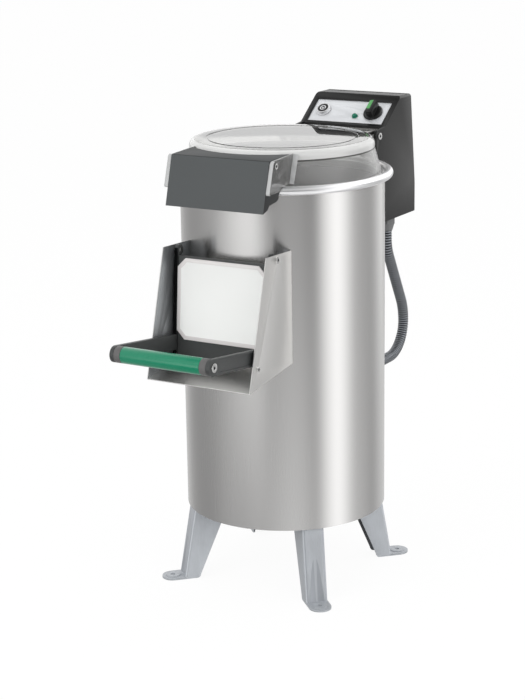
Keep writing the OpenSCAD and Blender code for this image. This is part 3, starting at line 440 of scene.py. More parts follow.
plasticNoise = {"haze": 14, "hazeDarker": 0.97, "scuff": 160, "scuffFrom": 0.4, "scuffTo": 0.8,
                "sheenRough": 0.3}


def clearPlastic(name, look):
    nodes = Nodes(bpy.data.materials.new(name))
    shader = nodes.add("ShaderNodeBsdfPrincipled")
    shader.inputs["Transmission Weight"].default_value = look["clear"]
    shader.inputs["IOR"].default_value = look["ior"]
    shader.inputs["Sheen Weight"].default_value = look.get("sheen", 0.0)
    shader.inputs["Sheen Roughness"].default_value = plasticNoise["sheenRough"]
    tint = tone(*look["colour"])
    darker = tuple(c * plasticNoise["hazeDarker"] for c in tint)
    hazy = nodes.blendColours(nodes.noise(plasticNoise["haze"]), tint, darker)
    nodes.link(hazy, shader.inputs["Base Color"])
    scuffed = nodes.ranged(nodes.noise(plasticNoise["scuff"], 4.0, 0.7), *look["rough"],
                           plasticNoise["scuffFrom"], plasticNoise["scuffTo"])
    nodes.link(scuffed, shader.inputs["Roughness"])
    through = nodes.add("ShaderNodeBsdfTransparent")
    through.inputs["Color"].default_value = (*look["through"], 1)
    rays = nodes.add("ShaderNodeLightPath")
    nodes.show(nodes.mixShaders(rays.outputs["Is Shadow Ray"], shader.outputs[0], through.outputs[0]))
    return nodes.owner


# colours are display values; vary is how far the colour wanders, and cloud and grain are noise scales
finishes = {
    "brushedDrum": dict(colour=(214, 213, 212), rough=(0.25, 0.28), metallic=1.0, vary=0.015, around=True,
                        grain=(2200, 60, 9), cloud=(9, 9, 2.4), bump=0.000004, brushed=0.8),
    "rimSteel": dict(colour=(244, 244, 245), rough=(0.26, 0.34), metallic=0.9, vary=0.02, around=True,
                     grain=(20, 900, 900), cloud=8, bump=0.00001),
    "brushedSheet": dict(colour=(210, 209, 207), rough=(0.24, 0.34), metallic=1.0, vary=0.04,
                         grain=(1200, 1200, 18), cloud=(8, 8, 3), bump=0.00001),
    "brightSteel": dict(colour=(226, 226, 225), rough=(0.10, 0.18), metallic=1.0, vary=0.03, around=True,
                        grain=(20, 900, 900), cloud=8, bump=0.00001),
    "legSteel": dict(colour=(202, 206, 211), rough=(0.40, 0.52), metallic=0.6, vary=0.09,
                     grain=(500, 500, 60), cloud=(26, 26, 16), bump=0.00003),
    # darker copy of the leg steel for the flutes' sides: painted shade
    "fluteSteel": dict(colour=(182, 186, 192), rough=(0.40, 0.52), metallic=0.6, vary=0.05,
                       grain=(500, 500, 60), cloud=(26, 26, 16), bump=0.00003),
    "footSteel": dict(colour=(188, 192, 197), rough=(0.36, 0.48), metallic=0.25, vary=0.08,
                      grain=500, cloud=60, bump=0.00003),
    # dark copy of the leg steel for the channel's inside: painted shade
    "legInside": dict(colour=(84, 86, 89), rough=(0.45, 0.55), metallic=0.5, vary=0.08,
                      grain=(500, 500, 60), cloud=(26, 26, 16), bump=0.00003),
    "screwEnd": dict(colour=(176, 176, 175), rough=(0.30, 0.40), metallic=0.2, vary=0.05,
                     grain=900, cloud=60, bump=0.00002),
    "zincSteel": dict(colour=(186, 188, 190), rough=(0.30, 0.45), metallic=1.0, vary=0.08,
                      grain=700, cloud=60, bump=0.00002),
    "groundSteel": dict(colour=(196, 197, 200), rough=(0.18, 0.28), metallic=1.0, vary=0.04, around=True,
                        grain=(20, 500, 1600), bump=0.00001),
    "chuteSteel": dict(colour=(234, 233, 231), rough=(0.34, 0.44), metallic=1.0, vary=0.04,
                       grain=(1200, 1200, 18), cloud=(8, 8, 3), bump=0.00001),
    # darker copy of the chute steel for the cheeks' insides: painted shade
    "shadedSteel": dict(colour=(184, 187, 190), rough=(0.40, 0.50), metallic=0.8, vary=0.06,
                        grain=(1200, 1200, 18), cloud=(8, 8, 3), bump=0.00001),
    # dark steel for the faces inside screw sockets: painted shade
    "deepSteel": dict(colour=(70, 70, 72), rough=(0.4, 0.5), metallic=0.9, vary=0.08,
                      grain=900, cloud=40, bump=0.00002),
    "fasciaMetal": dict(colour=(236, 238, 241), rough=(0.40, 0.5), metallic=0.35, vary=0.02,
                        grain=(40, 1400, 1400), cloud=9, bump=0.00001),
    "castIron": dict(colour=(96, 99, 104), rough=(0.55, 0.75), metallic=0.2, vary=0.12,
                     grain=420, cloud=30, bump=0.0002),
    "motorAluminium": dict(colour=(140, 145, 150), rough=(0.45, 0.6), metallic=0.6, vary=0.08,
                           grain=600, cloud=20, bump=0.0001),
    "abrasive": dict(colour=(62, 59, 56), rough=(0.75, 0.95), vary=0.35,
                     grain=520, cloud=160, bump=0.0012, bumpStrength=0.9),
    "darkPaint": dict(colour=(34, 34, 34), rough=(0.34, 0.42), vary=0.05, ior=1.42,
                      grain=1300, cloud=9, bump=0.00007),
    # darker paint for the box's slope: painted shade; the pale edge paint below is a painted glint
    "slopePaint": dict(colour=(21, 21, 21), rough=(0.34, 0.42), vary=0.05, ior=1.36,
                       grain=1300, cloud=9, bump=0.00007),
    "wornEdge": dict(colour=(112, 112, 110), rough=(0.34, 0.42), vary=0.10,
                     grain=900, cloud=40, bump=0.00004),
    "blackRubber": dict(colour=(34, 34, 35), rough=(0.6, 0.8), vary=0.12,
                        grain=500, cloud=25, bump=0.0001),
    "greyPipe": dict(colour=(152, 154, 156), rough=(0.42, 0.55), vary=0.05,
                     grain=700, cloud=18, bump=0.00004),
    "glandGrey": dict(colour=(124, 125, 126), rough=(0.42, 0.55), vary=0.05,
                      grain=700, cloud=18, bump=0.00004),
    "greyConduit": dict(colour=(150, 154, 160), rough=(0.26, 0.34), metallic=0.5, vary=0.08,
                        grain=600, cloud=30, bump=0.00005),
    # near-black finish for the conduit's grooves: painted shade
    "conduitGroove": dict(colour=(28, 30, 32), rough=(0.40, 0.50), vary=0.08,
                          grain=600, cloud=30, bump=0.00005),
    "doorPlastic": dict(colour=(66, 68, 68), rough=(0.38, 0.5), vary=0.06,
                        grain=1100, cloud=12, bump=0.00005),
    # near-black plastic for the strips beside the door's panel: painted shade
    "doorMargin": dict(colour=(7, 7, 8), rough=(0.5, 0.6), vary=0.08, ior=1.2,
                       grain=1100, cloud=12, bump=0.00005),
    "slatePlastic": dict(colour=(84, 87, 88), rough=(0.50, 0.60), vary=0.05, ior=1.38,
                         grain=1100, cloud=8, bump=0.00005),
    # darker copies of the slate for the handle's ends and top: painted shade
    "slateEnd": dict(colour=(50, 51, 52), rough=(0.50, 0.60), vary=0.05, ior=1.38,
                     grain=1100, cloud=8, bump=0.00005),
    "slateTop": dict(colour=(60, 62, 63), rough=(0.50, 0.60), vary=0.05, ior=1.3,
                     grain=1100, cloud=8, bump=0.00005),
    "blackPlastic": dict(colour=(14, 14, 15), rough=(0.24, 0.34), vary=0.12,
                         grain=1200, cloud=30, bump=0.00004),
    "whitePanel": dict(colour=(253, 254, 252), rough=(0.28, 0.36), vary=0.01,
                       grain=900, cloud=8, bump=0.00001),
    "panelBorder": dict(colour=(230, 226, 225), rough=(0.32, 0.40), vary=0.02,
                        grain=900, cloud=8, bump=0.00001),
    "greenGrip": dict(colour=(10, 132, 97), rough=(0.24, 0.32), vary=0.06, coat=0.4, coatRough=0.2,
                      grain=900, cloud=20, bump=0.00004),
    "greyCaps": dict(colour=(101, 100, 100), rough=(0.42, 0.55), vary=0.06,
                     grain=1000, cloud=20, bump=0.00005),
    # opaque grey finish for the brackets' cut edges: painted highlight
    "frostedEdge": dict(colour=(190, 191, 191), rough=(0.22, 0.3), vary=0.02,
                        grain=900, cloud=20, bump=0.00002),
    "buttonFace": dict(colour=(242, 243, 245), rough=(0.3, 0.4), vary=0.03,
                       grain=900, cloud=60, bump=0.00002),
    "greenLens": dict(colour=(2, 116, 90), rough=(0.12, 0.2), vary=0.08, coat=0.6,
                      grain=800, cloud=120, bump=0.00003),
    "greenPointer": dict(colour=(92, 170, 98), rough=(0.35, 0.45), vary=0.05,
                         grain=900, cloud=80, bump=0.00003),
    "creamPlastic": dict(colour=(214, 209, 194), rough=(0.40, 0.5), vary=0.04,
                         grain=900, cloud=30, bump=0.00004),
}
plastics = {
    "clearLid": dict(colour=(247, 246, 242), clear=1.0, through=(0.55, 0.56, 0.56), ior=1.58,
                     rough=(0.02, 0.05)),
    "lidWall": dict(colour=(242, 242, 241), clear=0.81, through=grey(0.5), ior=1.5,
                    rough=(0.02, 0.05), sheen=1.0),
    # white, less clear band for the lid's outer shoulder: painted highlight
    "lidShoulder": dict(colour=(250, 250, 249), clear=0.30, through=grey(0.55), ior=1.5, rough=(0.04, 0.08)),
    # grey, less clear ring under the lid's shoulder step: painted shade
    "lidSeam": dict(colour=(104, 103, 101), clear=0.55, through=grey(0.4), ior=1.4, rough=(0.06, 0.10)),
    "clearBracket": dict(colour=(190, 190, 189), clear=0.82, through=grey(0.7), ior=1.5, rough=(0.12, 0.2)),
}
finish = {name: surface(name, look) for name, look in finishes.items()}
finish.update({name: clearPlastic(name, look) for name, look in plastics.items()})
print("materials made:", len(finish))

slotFinish = {
    "stainless_brushed": "brushedSheet", "stainless_bright": "brightSteel", "leg_steel": "legSteel",
    "zinc_steel": "zincSteel", "bearing_steel": "groundSteel", "cast_housing": "castIron",
    "motor_aluminium": "motorAluminium", "abrasive_grit": "abrasive", "black_rubber": "blackRubber",
    "grey_pipe": "greyPipe", "grey_conduit": "greyConduit", "dark_housing": "darkPaint",
    "door_plastic": "doorPlastic", "slate_plastic": "slatePlastic", "white_panel": "whitePanel",
    "green_grip": "greenGrip", "grey_caps": "greyCaps", "clear_lid": "clearLid",
    "fascia_metal": "fasciaMetal", "black_plastic": "blackPlastic", "green_lens": "greenLens",
    "green_pointer": "greenPointer", "cream_plastic": "creamPlastic"}
for nodeName, node in cadNodes.items():  # every carried-over node gets its finish
    paint(node, slotFinish[slotOf[nodeName]])


# the drum with its holes, and its rim; reach is how far a cutter goes to each side of the wall

drum = {"radius": 0.2, "wall": 0.0015, "low": 0.148, "high": 0.8115, "sides": 192}
window = {"width": 0.156, "height": 0.17, "middle": 0.587, "corner": 0.012, "reach": 0.03}
drain = {"bearing": 210, "height": 0.388, "radius": 0.029, "reach": 0.03}
hoseHole = {"x": 0.076, "height": 0.37453, "radius": 0.012, "reach": 0.04}
sprayHole = {"x": -0.055, "height": 0.7845, "radius": 0.007, "reach": 0.03}


def windowCutter():
    # a block with rounded corners, lying from front to back through the drum's front wall
    across, up = window["width"] / 2 - window["corner"], window["height"] / 2 - window["corner"]
    outline = []
    for sx, sz, start in ((1, 1, 0), (-1, 1, 90), (-1, -1, 180), (1, -1, 270)):
        outline += arcPoints(sx * across, window["middle"] + sz * up, window["corner"], start, start + 90, 5)
    front = -drum["radius"] - window["reach"]
    return slab("windowCut", [(x, front, z) for x, z in outline], (0, 2 * window["reach"], 0))


def backHole(hole):
    y, reach = drum["radius"], hole["reach"]
    return rod("holeCut", (hole["x"], y - reach, hole["height"]), (hole["x"], y + reach, hole["height"]),
               hole["radius"])


def drumShell():
    clearSelection()
    bpy.ops.mesh.primitive_cylinder_add(
        radius=drum["radius"], depth=drum["high"] - drum["low"], vertices=drum["sides"],
        end_fill_type="NOTHING", location=(0, 0, (drum["high"] + drum["low"]) / 2),
        rotation=(0, 0, math.pi / drum["sides"]))
    shell = named("drumShell")
    settle(shell)
    modify(shell, "wall", "SOLIDIFY", thickness=drum["wall"], offset=-1)
    applyModifiers(shell)
    a = math.radians(drain["bearing"])
    out = Vector((math.sin(a), -math.cos(a), 0))
    middle = out * drum["radius"] + Vector((0, 0, drain["height"]))
    drainCut = rod("drainCut", middle - out * drain["reach"], middle + out * drain["reach"], drain["radius"])
    cut(shell, windowCutter(), drainCut, backHole(hoseHole), backHole(sprayHole))
    smooth(shell, 30)
    paint(shell, "brushedDrum")
    dress(shell, "drum_shell")


rim = {"bead": 0.0085, "beadMiddle": (0.2075, 0.816), "beadTurn": (212, 553.6),
       "skirt": [(0.188, 0.8118), (0.1963, 0.8115), (0.1963, 0.7955), (0.1983, 0.7955), (0.1983, 0.8115)],
       "seat": [(0.1965, 0.8137), (0.1895, 0.814), (0.1883, 0.8138)]}


def rimRing():
    bead = arcPoints(*rim["beadMiddle"], rim["bead"], *rim["beadTurn"], 30)
    ring = lathe("rimRing", rim["skirt"] + bead + rim["seat"], 192)
    smooth(ring, 50)
    paint(ring, "rimSteel")
    dress(ring, "rim_ring")


drumShell()
rimRing()
print("drum and rim modelled")


# the clear lid with its brackets, hinge arms and screws

lid = {"top": 0.8863, "seat": 0.8143, "wall": 0.003, "shoulder": 0.014, "shoulderRadius": 0.1805,
       "groove": 0.1445, "grooveWide": 0.004, "grooveDeep": 0.001, "step": 0.0004,
       "cone": [(0.1795, 0.8673), (0.1802, 0.8648), (0.192, 0.8223), (0.1922, 0.8202), (0.193, 0.8194)],
       "inner": [(0.189, 0.8223), (0.1765, 0.8673), (0.1775, 0.8680)], "innerSoft": 0.0005,
       "lip": 0.1955, "lipTop": 0.8193, "lipSoft": 0.0006, "stepShade": (0.8648, 0.8684), "shoulderFrom": 0.170}
fittings = {"bracketEdge": 0.0006, "armEdge": 0.0004,
            "latchScrews": [(-0.214, 0.867, 0.0028, 0.111)], "hingePins": [(0.225, 0.862, 0.003, 0.101)]}


def lidDome():
    top, wall, bend, edge = lid["top"], lid["wall"], lid["shoulder"], lid["shoulderRadius"]
    inGroove, outGroove, deep = lid["groove"], lid["groove"] + lid["grooveWide"], lid["grooveDeep"]
    lip, lipTop, seat, soft = lid["lip"], lid["lipTop"], lid["seat"], lid["lipSoft"]
    coneTop, bore = lid["cone"][0][1], lid["inner"][0][0]
    outer = [(0, top), (inGroove - deep, top), (inGroove, top - deep),
             (outGroove, top - deep), (outGroove + deep, top)]
    outer += arcPoints(edge - bend, top - bend, bend, 90, 0, 10)
    outer += [(edge, coneTop + soft), (edge - lid["step"], coneTop)] + lid["cone"]
    outer += [(lip - soft, lipTop), (lip, lipTop - soft), (lip, seat + soft), (lip - soft, seat)]
    inner = [(bore + lid["innerSoft"], seat), (bore, seat + lid["innerSoft"])] + lid["inner"]
    inner += arcPoints(edge - bend, top - bend, bend - wall, 0, 90, 8)
    inner += [(0, top - wall)]
    dome = lathe("lidDome", outer + inner, 160, closed=False)
    smooth(dome, 32)
    paint(dome, "clearLid lidWall lidShoulder lidSeam")
    dress(dome, "lid_dome")
    stepShadeLow, stepShadeHigh = lid["stepShade"]
    # outside the shoulder radius the outer faces get the white band: painted highlight
    for face in dome.data.polygons:
        out, height = math.hypot(face.center.x, face.center.y), face.center.z
        outside = face.normal.x * face.center.x + face.normal.y * face.center.y > 0
        # a thin outer ring just under the step gets the grey ring of painted shade
        if height < stepShadeHigh:
            face.material_index = 3 if outside and height > stepShadeLow else 1
        elif out > lid["shoulderFrom"] and outside:
            face.material_index = 2


lidDome()
screws("latch_pivot_screws", "latchPivotScrews", fittings["latchScrews"])
screws("hinge_pins", "hingePins", fittings["hingePins"])
for side in ("left", "right"):
    bracket = refined(f"latch_bracket_{side}", f"latchBracket{side.title()}", "clearBracket frostedEdge",
                      fittings["bracketEdge"])
    for face in bracket.data.polygons:  # the bracket's cut edges get an opaque grey finish: painted highlight
        face.material_index = 1 if abs(face.normal.x) < 0.8 else 0
    refined(f"hinge_arm_{side}", f"hingeArm{side.title()}", "brushedSheet", fittings["armEdge"])
print("lid modelled")


# the lid's handle; the points of its section are (y, z) from the pivot screws

lever = {"halfWidth": 0.1051, "wall": 0.004, "edge": 0.0012, "pivot": (-0.214, 0.867), "bore": 0.00306,
         "low": (-0.042, -0.0818), "high": (-0.018, 0.0112), "back": (0.07, 0.0146), "nose": 0.005,
         "under": [(0.056, -0.01), (0.053, -0.024), (0.048, -0.027), (0.041, -0.0315), (0.033, -0.037),
                   (0.024, -0.046), (0.017, -0.055), (0.014, -0.063), (0.007, -0.0665), (-0.019, -0.0695),
                   (-0.0255, -0.077)],
         "frontWall": 0.0037, "noseWall": 0.0045, "topWall": 0.0035,
         "pastFront": 0.02, "pastBack": 0.01, "pastBelow": 0.2,  # how far the hollow's cutter goes past
         "domeRadius": 0.189, "domeLow": 0.857, "domeHigh": 0.92}


def leverCover():
    y, z = lever["pivot"]
    low, high, back = ((y + lever[key][0], z + lever[key][1]) for key in ("low", "high", "back"))
    nose, front, corner, top = (lever[key] for key in ("nose", "frontWall", "noseWall", "topWall"))
    outline = [low] + arcPoints(high[0] + nose, high[1] - nose, nose, 170, 92, 6)
    outline += [back, (back[0], back[1] - top)] + [(y + dy, z + dz) for dy, dz in lever["under"]]
    cover = section("leverCover", outline, lever["halfWidth"])
    inFront, behind = low[0] + front, back[0] + lever["pastBack"]
    hollow = section("hollow", [
        (inFront, low[1] - lever["pastFront"]), (inFront, low[1]), (high[0] + corner, high[1] - top),
        (behind, back[1] - top), (behind, back[1] - lever["pastBelow"])], lever["halfWidth"] - lever["wall"])
    domeRoom = rod("domeRoom", (0, 0, lever["domeLow"]), (0, 0, lever["domeHigh"]), lever["domeRadius"], 160)
    cut(cover, hollow, domeRoom, crossBore(y, z, lever["bore"]))
    softenEdges(cover, lever["edge"], 3, 35)
    paint(cover, "slatePlastic slateEnd slateTop")
    dress(cover, "lid_handle")
    # the end walls and the top get darker copies of the slate: painted shade
    for face in cover.data.polygons:
        face.material_index = 1 if abs(face.normal.x) > 0.5 else 2 if face.normal.z > 0.8 else 0


leverCover()
refined("lid_catch", "lidCatch", "blackPlastic", 0.001)
print("lid handle modelled")


# discharge chute and door

chute = {"edge": 0.0004, "screws": [(-0.22, 0.695, 0.003, 0.115), (-0.295, 0.505, 0.0026, 0.1145)],
         "insideEnds": 0.106}
doorFrame = Matrix.Translation((0, -0.22, 0.695)) @ Matrix.Rotation(math.radians(-4.5), 4, "X")
panel = {"width": 0.194, "height": 0.156, "corner": 0.017, "thick": 0.0033, "border": 0.0075,
         "back": -0.007, "top": -0.0135, "sink": 0.0004, "edge": 0.0005}
margin = {"under": 0.0004, "from": -0.02}  # how far the strips of painted shade go under the panel, and where they start
grip = {"middle": (-0.205, -0.1685), "radius": 0.0155, "length": 0.168, "bore": 0.0061, "edge": 0.0008,
        "capGap": 0.0002, "capEnd": 0.0978, "capEdge": 0.0006}
gripRod = {"radius": 0.006, "tip": 0.106, "head": 0.0085, "headThick": 0.0025, "socket": 0.0034,
           "socketFloor": 0.0005, "edge": 0.0006}


def chuteSheet():
    sheet = refined("chute", "chuteSheet", "chuteSteel shadedSteel", chute["edge"])
    for face in sheet.data.polygons:  # the insides of the cheeks get a darker, duller copy of the steel: painted shade between the cheeks
        inwards = face.center.x * face.normal.x < -0.05 and abs(face.normal.x) > 0.7
        face.material_index = 1 if inwards else 0
    bolts = screws("chute_screws", "chuteScrews", chute["screws"], "screwEnd")
    for face in bolts.data.polygons:  # the ends inside the chute are plain and matt
        if abs(face.center.x) < chute["insideEnds"]:
            face.material_index = 2


def dischargeDoor():
    door = refined("discharge_door", "dischargeDoor", "doorPlastic doorMargin", 0.001)
    edge = panel["width"] / 2 - margin["under"]
    for side in (-1, 1):
        startEdit(door)
        bpy.ops.mesh.bisect(plane_co=(side * edge, 0, 0), plane_no=(1, 0, 0))
        endEdit()
    smooth(door)
    back = doorFrame.inverted()
    for face in door.data.polygons:  # the strips beside the panel, deep between the cheeks, get near-black painted shade
        middle, normal = back @ face.center, back.to_3x3() @ face.normal
        if abs(middle.x) > edge and normal.y < -0.9 and middle.y > margin["from"]:
            face.material_index = 1


def facePanel():
    w, h, c, top = panel["width"] / 2, panel["height"], panel["corner"], panel["top"]
    corners = [(-w, -c), (-w + c, 0), (w - c, 0), (w, -c), (w, c - h), (w - c, -h), (-w + c, -h), (-w, c - h)]
    sheet = slab("facePanel", [(x, panel["back"], z + top) for x, z in corners], (0, -panel["thick"], 0))
    startEdit(sheet)
    selectFaces(sheet, lambda normal: normal.y < -0.9)
    bpy.ops.mesh.inset(thickness=panel["border"])
    bpy.ops.mesh.extrude_region_move(TRANSFORM_OT_translate={"value": (0, panel["sink"], 0)})
    endEdit()
    softenEdges(sheet, panel["edge"])
    paint(sheet, "panelBorder whitePanel")
    border = panel["border"] * 0.98
    sunk = panel["back"] - panel["thick"] + panel["sink"] * 0.75
    for face in sheet.data.polygons:  # the white field is sunk a little inside its border
        x, y, z = face.center
        inside = abs(x) < w - border and top - h + border < z < top - border
        face.material_index = 1 if inside and face.normal.y < -0.9 and y > sunk else 0
    place(sheet, doorFrame)
    dress(sheet, "door_face_panel")


def gripAndCaps():
    y, z = grip["middle"]
    half = grip["length"] / 2
    bar = rod("handleGrip", (-half, y, z), (half, y, z), grip["radius"], 72)
    cut(bar, crossBore(y, z, grip["bore"]))
    softenEdges(bar, grip["edge"], 3, 40)
    place(bar, doorFrame)
    paint(bar, "greenGrip")
    dress(bar, "handle_grip")
    caps = []
    for s in (-1, 1):
        cap = rod("cap", (s * (half + grip["capGap"]), y, z), (s * grip["capEnd"], y, z), grip["radius"], 72)
        cut(cap, crossBore(y, z, grip["bore"]))
        softenEdges(cap, grip["capEdge"], 2, 40)
        caps.append(cap)
    both = joined("handleCaps", caps)
    place(both, doorFrame)
    paint(both, "greyCaps")
    dress(both, "handle_caps")


def handleRod():
    y, z = grip["middle"]
    tip = gripRod["tip"]
    shaft = rod("handleRod", (-tip, y, z), (tip, y, z), gripRod["radius"])
    ends = [shaft]
    for s in (-1, 1):
        head = rod("head", (s * tip, y, z), (s * (tip + gripRod["headThick"]), y, z), gripRod["head"])
        inner, outer = s * (tip + gripRod["socketFloor"]), s * (tip + socket["past"])
        cut(head, rod("socket", (inner, y, z), (outer, y, z), gripRod["socket"], 6))
        softenEdges(head, gripRod["edge"], 2, 40)
        ends.append(head)
    smooth(shaft)
    whole = joined("handleRod", ends)
    place(whole, doorFrame)
    paint(whole, "brightSteel deepSteel")
    dress(whole, "handle_rod")
    middle = doorFrame @ Vector((0, y, z))
    # the heads' socket faces get the dark steel: painted shade
    shadeSocketFaces(whole, middle.y, middle.z, gripRod["socket"], tip + gripRod["headThick"] - socket["skin"])


chuteSheet()
refined("discharge_frame", "dischargeFrame", "brushedSheet", 0.0004)
dischargeDoor()
facePanel()
gripAndCaps()
handleRod()
print("discharge modelled")


# control box

box = {"edge": 0.0015, "slopeFrom": 0.86}
fascia = {"middle": (0.28298, 0.9002), "slope": 36.68, "deep": 0.002}
bezel = {"profile": [(0.01, -0.016), (0.0109, -0.016), (0.0109, 0), (0.0153, 0), (0.0153, 0.0007),
                     (0.0147, 0.0008), (0.0147, 0.0034), (0.0136, 0.0074), (0.0128, 0.008), (0.0114, 0.008),
                     (0.0113, 0.0078), (0.01, 0.0078)],
         "washerTop": 0.00075, "lip": 0.0113, "lipFrom": 0.007}
button = {"x": -0.060, "face": 0.0066, "faceFrom": 0.007, "top": 0.0078, "ring": 0.003, "line": 0.0017,
          "mark": 0.0003, "sunk": 0.0002, "barLow": -0.0012, "barPast": 0.0008}
tilt = Matrix.Rotation(math.radians(fascia["slope"]), 4, "X")
buttonFrame = (Matrix.Translation((0, *fascia["middle"])) @ tilt
               @ Matrix.Translation((button["x"], 0, -fascia["deep"])))


def boxCover():
    cover = refined("control_box_cover", "boxCover", "darkPaint wornEdge slopePaint", box["edge"], 3, 35)
    for face in cover.data.polygons:  # the folded edges of the slope are painted pale as a glint, and the slope's face gets a darker paint as painted shade
        slope = face.normal.y < -0.2 and face.normal.z > 0.2 and face.center.z > box["slopeFrom"]
        wearAndGlint = slope and 0.2 < abs(face.normal.x) < 0.93
        face.material_index = 1 if wearAndGlint else 2 if slope and abs(face.normal.x) < 0.3 else 0


def buttonBezel():
    # a bright ring that stands on a thin black washer, with a black inner edge
    ring = lathe("buttonBezel", bezel["profile"], 72)
    smooth(ring, 30)
    paint(ring, "rimSteel blackPlastic")
    for face in ring.data.polygons:
        out, height = math.hypot(face.center.x, face.center.y), face.center.z
        black = 0 < height < bezel["washerTop"] or out < bezel["lip"] and height > bezel["lipFrom"]
        face.material_index = 1 if black else 0
    place(ring, buttonFrame)
    dress(ring, "button_bezel")


def pushButton():
    # a black rim about a pale face, which carries a plain ring and a bar
    cap = refined("stop_button", "stopButton", "blackPlastic buttonFace", 0.0003)
    back = buttonFrame.inverted()
    for face in cap.data.polygons:
        spots = [back @ cap.data.vertices[v].co for v in face.vertices]
        pale = all(math.hypot(x, y) < button["face"] and z > button["faceFrom"] for x, y, z in spots)
        face.material_index = 1 if pale else 0
    low, high = button["top"] - button["sunk"], button["top"] + button["mark"]
    r, line = button["ring"], button["line"]
    ring = lathe("ring", [(r, low), (r + line, low), (r + line, high), (r, high)], 48)
    bar = block("bar", (-line / 2, button["barLow"], low), (line / 2, r + line + button["barPast"], high))
    mark = joined("buttonMark", [ring, bar])
    place(mark, buttonFrame)
    smooth(mark)
    paint(mark, "blackPlastic")
    dress(mark, body="button", slot="black_plastic")


boxCover()
refined("fascia_plate", "fasciaPlate", "fasciaMetal", 0.0003)
refined("timer_knob", "timerKnob", "blackPlastic", 0.002, 4)
refined("knob_pointer", "knobPointer", "greenPointer", 0.0012, 3)
refined("signal_lamp", "signalLamp", "greenLens", 0.0003)
buttonBezel()
pushButton()
print("control box modelled")


# the conduit hangs from the box, leans out, bellies and turns in to the drum's wall

conduit = {"radius": 0.011, "pitch": 0.0054, "ridge": 0.0018, "sides": 16, "cuts": 3,
           "x": 0.076, "y": 0.3045, "top": 0.6535, "start": 0.6355, "lean": 29.0, "upperBend": 0.08,
           "straight": 0.122, "belly": 0.1, "lowerBend": 0.067, "wallY": 0.211}


def conduitRoute():
    lean, upper, belly, lower = (conduit[key] for key in ("lean", "upperBend", "belly", "lowerBend"))
    slant = math.radians(lean)
    points = [(conduit["y"], conduit["top"]), (conduit["y"], conduit["start"])]
    points += arcPoints(conduit["y"] + upper, conduit["start"], upper, 180, 180 + lean, 8)[1:]
    y, z = points[-1]
    y, z = y + conduit["straight"] * math.sin(slant), z - conduit["straight"] * math.cos(slant)
    middleY, middleZ = y - belly * math.cos(slant), z - belly * math.sin(slant)
    points += arcPoints(middleY, middleZ, belly, lean, 0, 8)
    points += arcPoints(middleY + belly - lower, middleZ, lower, 0, -90, 18)[1:]
    points += [(conduit["wallY"], middleZ - lower)]
    return [Vector((conduit["x"], y, z)) for y, z in points]


def guideCurve(route):
    path = bpy.data.curves.new("hosePath", "CURVE")
    path.dimensions = "3D"
    line = path.splines.new("POLY")
    line.points.add(len(route) - 1)
    for point, where in zip(line.points, route):
        point.co = (*where, 1)
    guide = bpy.data.objects.new("hosePath", path)
    bpy.context.scene.collection.objects.link(guide)
    return guide


def conduitHose():
    route = conduitRoute()
    guide = guideCurve(route)
    length = sum((b - a).length for a, b in zip(route, route[1:]))
    count = round(length / conduit["pitch"])
    pitch, ridge = length / count, conduit["ridge"]
    clearSelection()
    bpy.ops.mesh.primitive_cylinder_add(
        radius=conduit["radius"] - ridge, depth=pitch, vertices=conduit["sides"], end_fill_type="NOTHING",
        location=(pitch / 2, 0, 0), rotation=(0, math.pi / 2, 0))
    hose = named("conduitHose")
    settle(hose)
    startEdit(hose)
    bpy.ops.mesh.subdivide(number_cuts=conduit["cuts"])
    endEdit()
    closeUp(hose)
    for vertex in hose.data.vertices:  # the flat-topped ridge stands midway along each turn
        t = abs(vertex.co.x - pitch / 2) / (pitch / 2)
        scale = (conduit["radius"] - ridge * max(0, 2 * t - 1)) / math.hypot(vertex.co.y, vertex.co.z)
        vertex.co.y *= scale
        vertex.co.z *= scale
    paint(hose, "greyConduit conduitGroove")
    # the groove faces get the near-black finish: painted shade between the ribs
    for face in hose.data.polygons:
        face.material_index = 1 if abs(face.center.x - pitch / 2) > pitch / 4 else 0
    modify(hose, "row", "ARRAY", count=count, use_relative_offset=False, use_constant_offset=True,
           constant_offset_displace=(pitch, 0, 0), use_merge_vertices=True, merge_threshold=0.00005)
    modify(hose, "follow", "CURVE", object=guide, deform_axis="POS_X")
    applyModifiers(hose)
    bpy.data.objects.remove(guide)
    closeUp(hose)
    smooth(hose, 60)
    dress(hose, "hose_conduit")


conduitHose()
refined("hose_glands", "hoseGlands", "glandGrey", 0.0006)
print("conduit modelled")


# legs

leg = {"edge": 0.0006, "footTop": 0.006}


def channelLeg(end, side):
    piece = refined(f"leg_{end}_{side}", f"leg{end.title()}{side.title()}",
                    "legSteel footSteel fluteSteel legInside", leg["edge"])
    out = Vector((-1 if side == "left" else 1, -1 if end == "front" else 1, 0)).normalized()
    along = Vector((-out.y, out.x, 0))
    for face in piece.data.polygons:  # the foot gets a less metallic steel, the flutes' sides a darker steel as painted shade, and the channel's inside a dark steel as painted shade
        outwards, aside = face.normal.dot(out), face.normal.dot(along)
        fluted = outwards > 0.7 and 0.05 < abs(aside) < 0.6
        inner = abs(aside) > 0.7 and aside * face.center.dot(along) < 0 or outwards < -0.7
        face.material_index = 1 if face.center.z < leg["footTop"] else 2 if fluted else 3 if inner else 0


for end in ("front", "back"):
    for side in ("left", "right"):
        channelLeg(end, side)
print("legs modelled")


# camera, floor and light

view = {"azimuth": 30.43, "elevation": 15.17, "roll": -0.88, "distance": 3.6108,
        "focal": 1805.1, "frameHeight": 700, "sensor": 36, "aim": (-0.0438, 0.4578)}


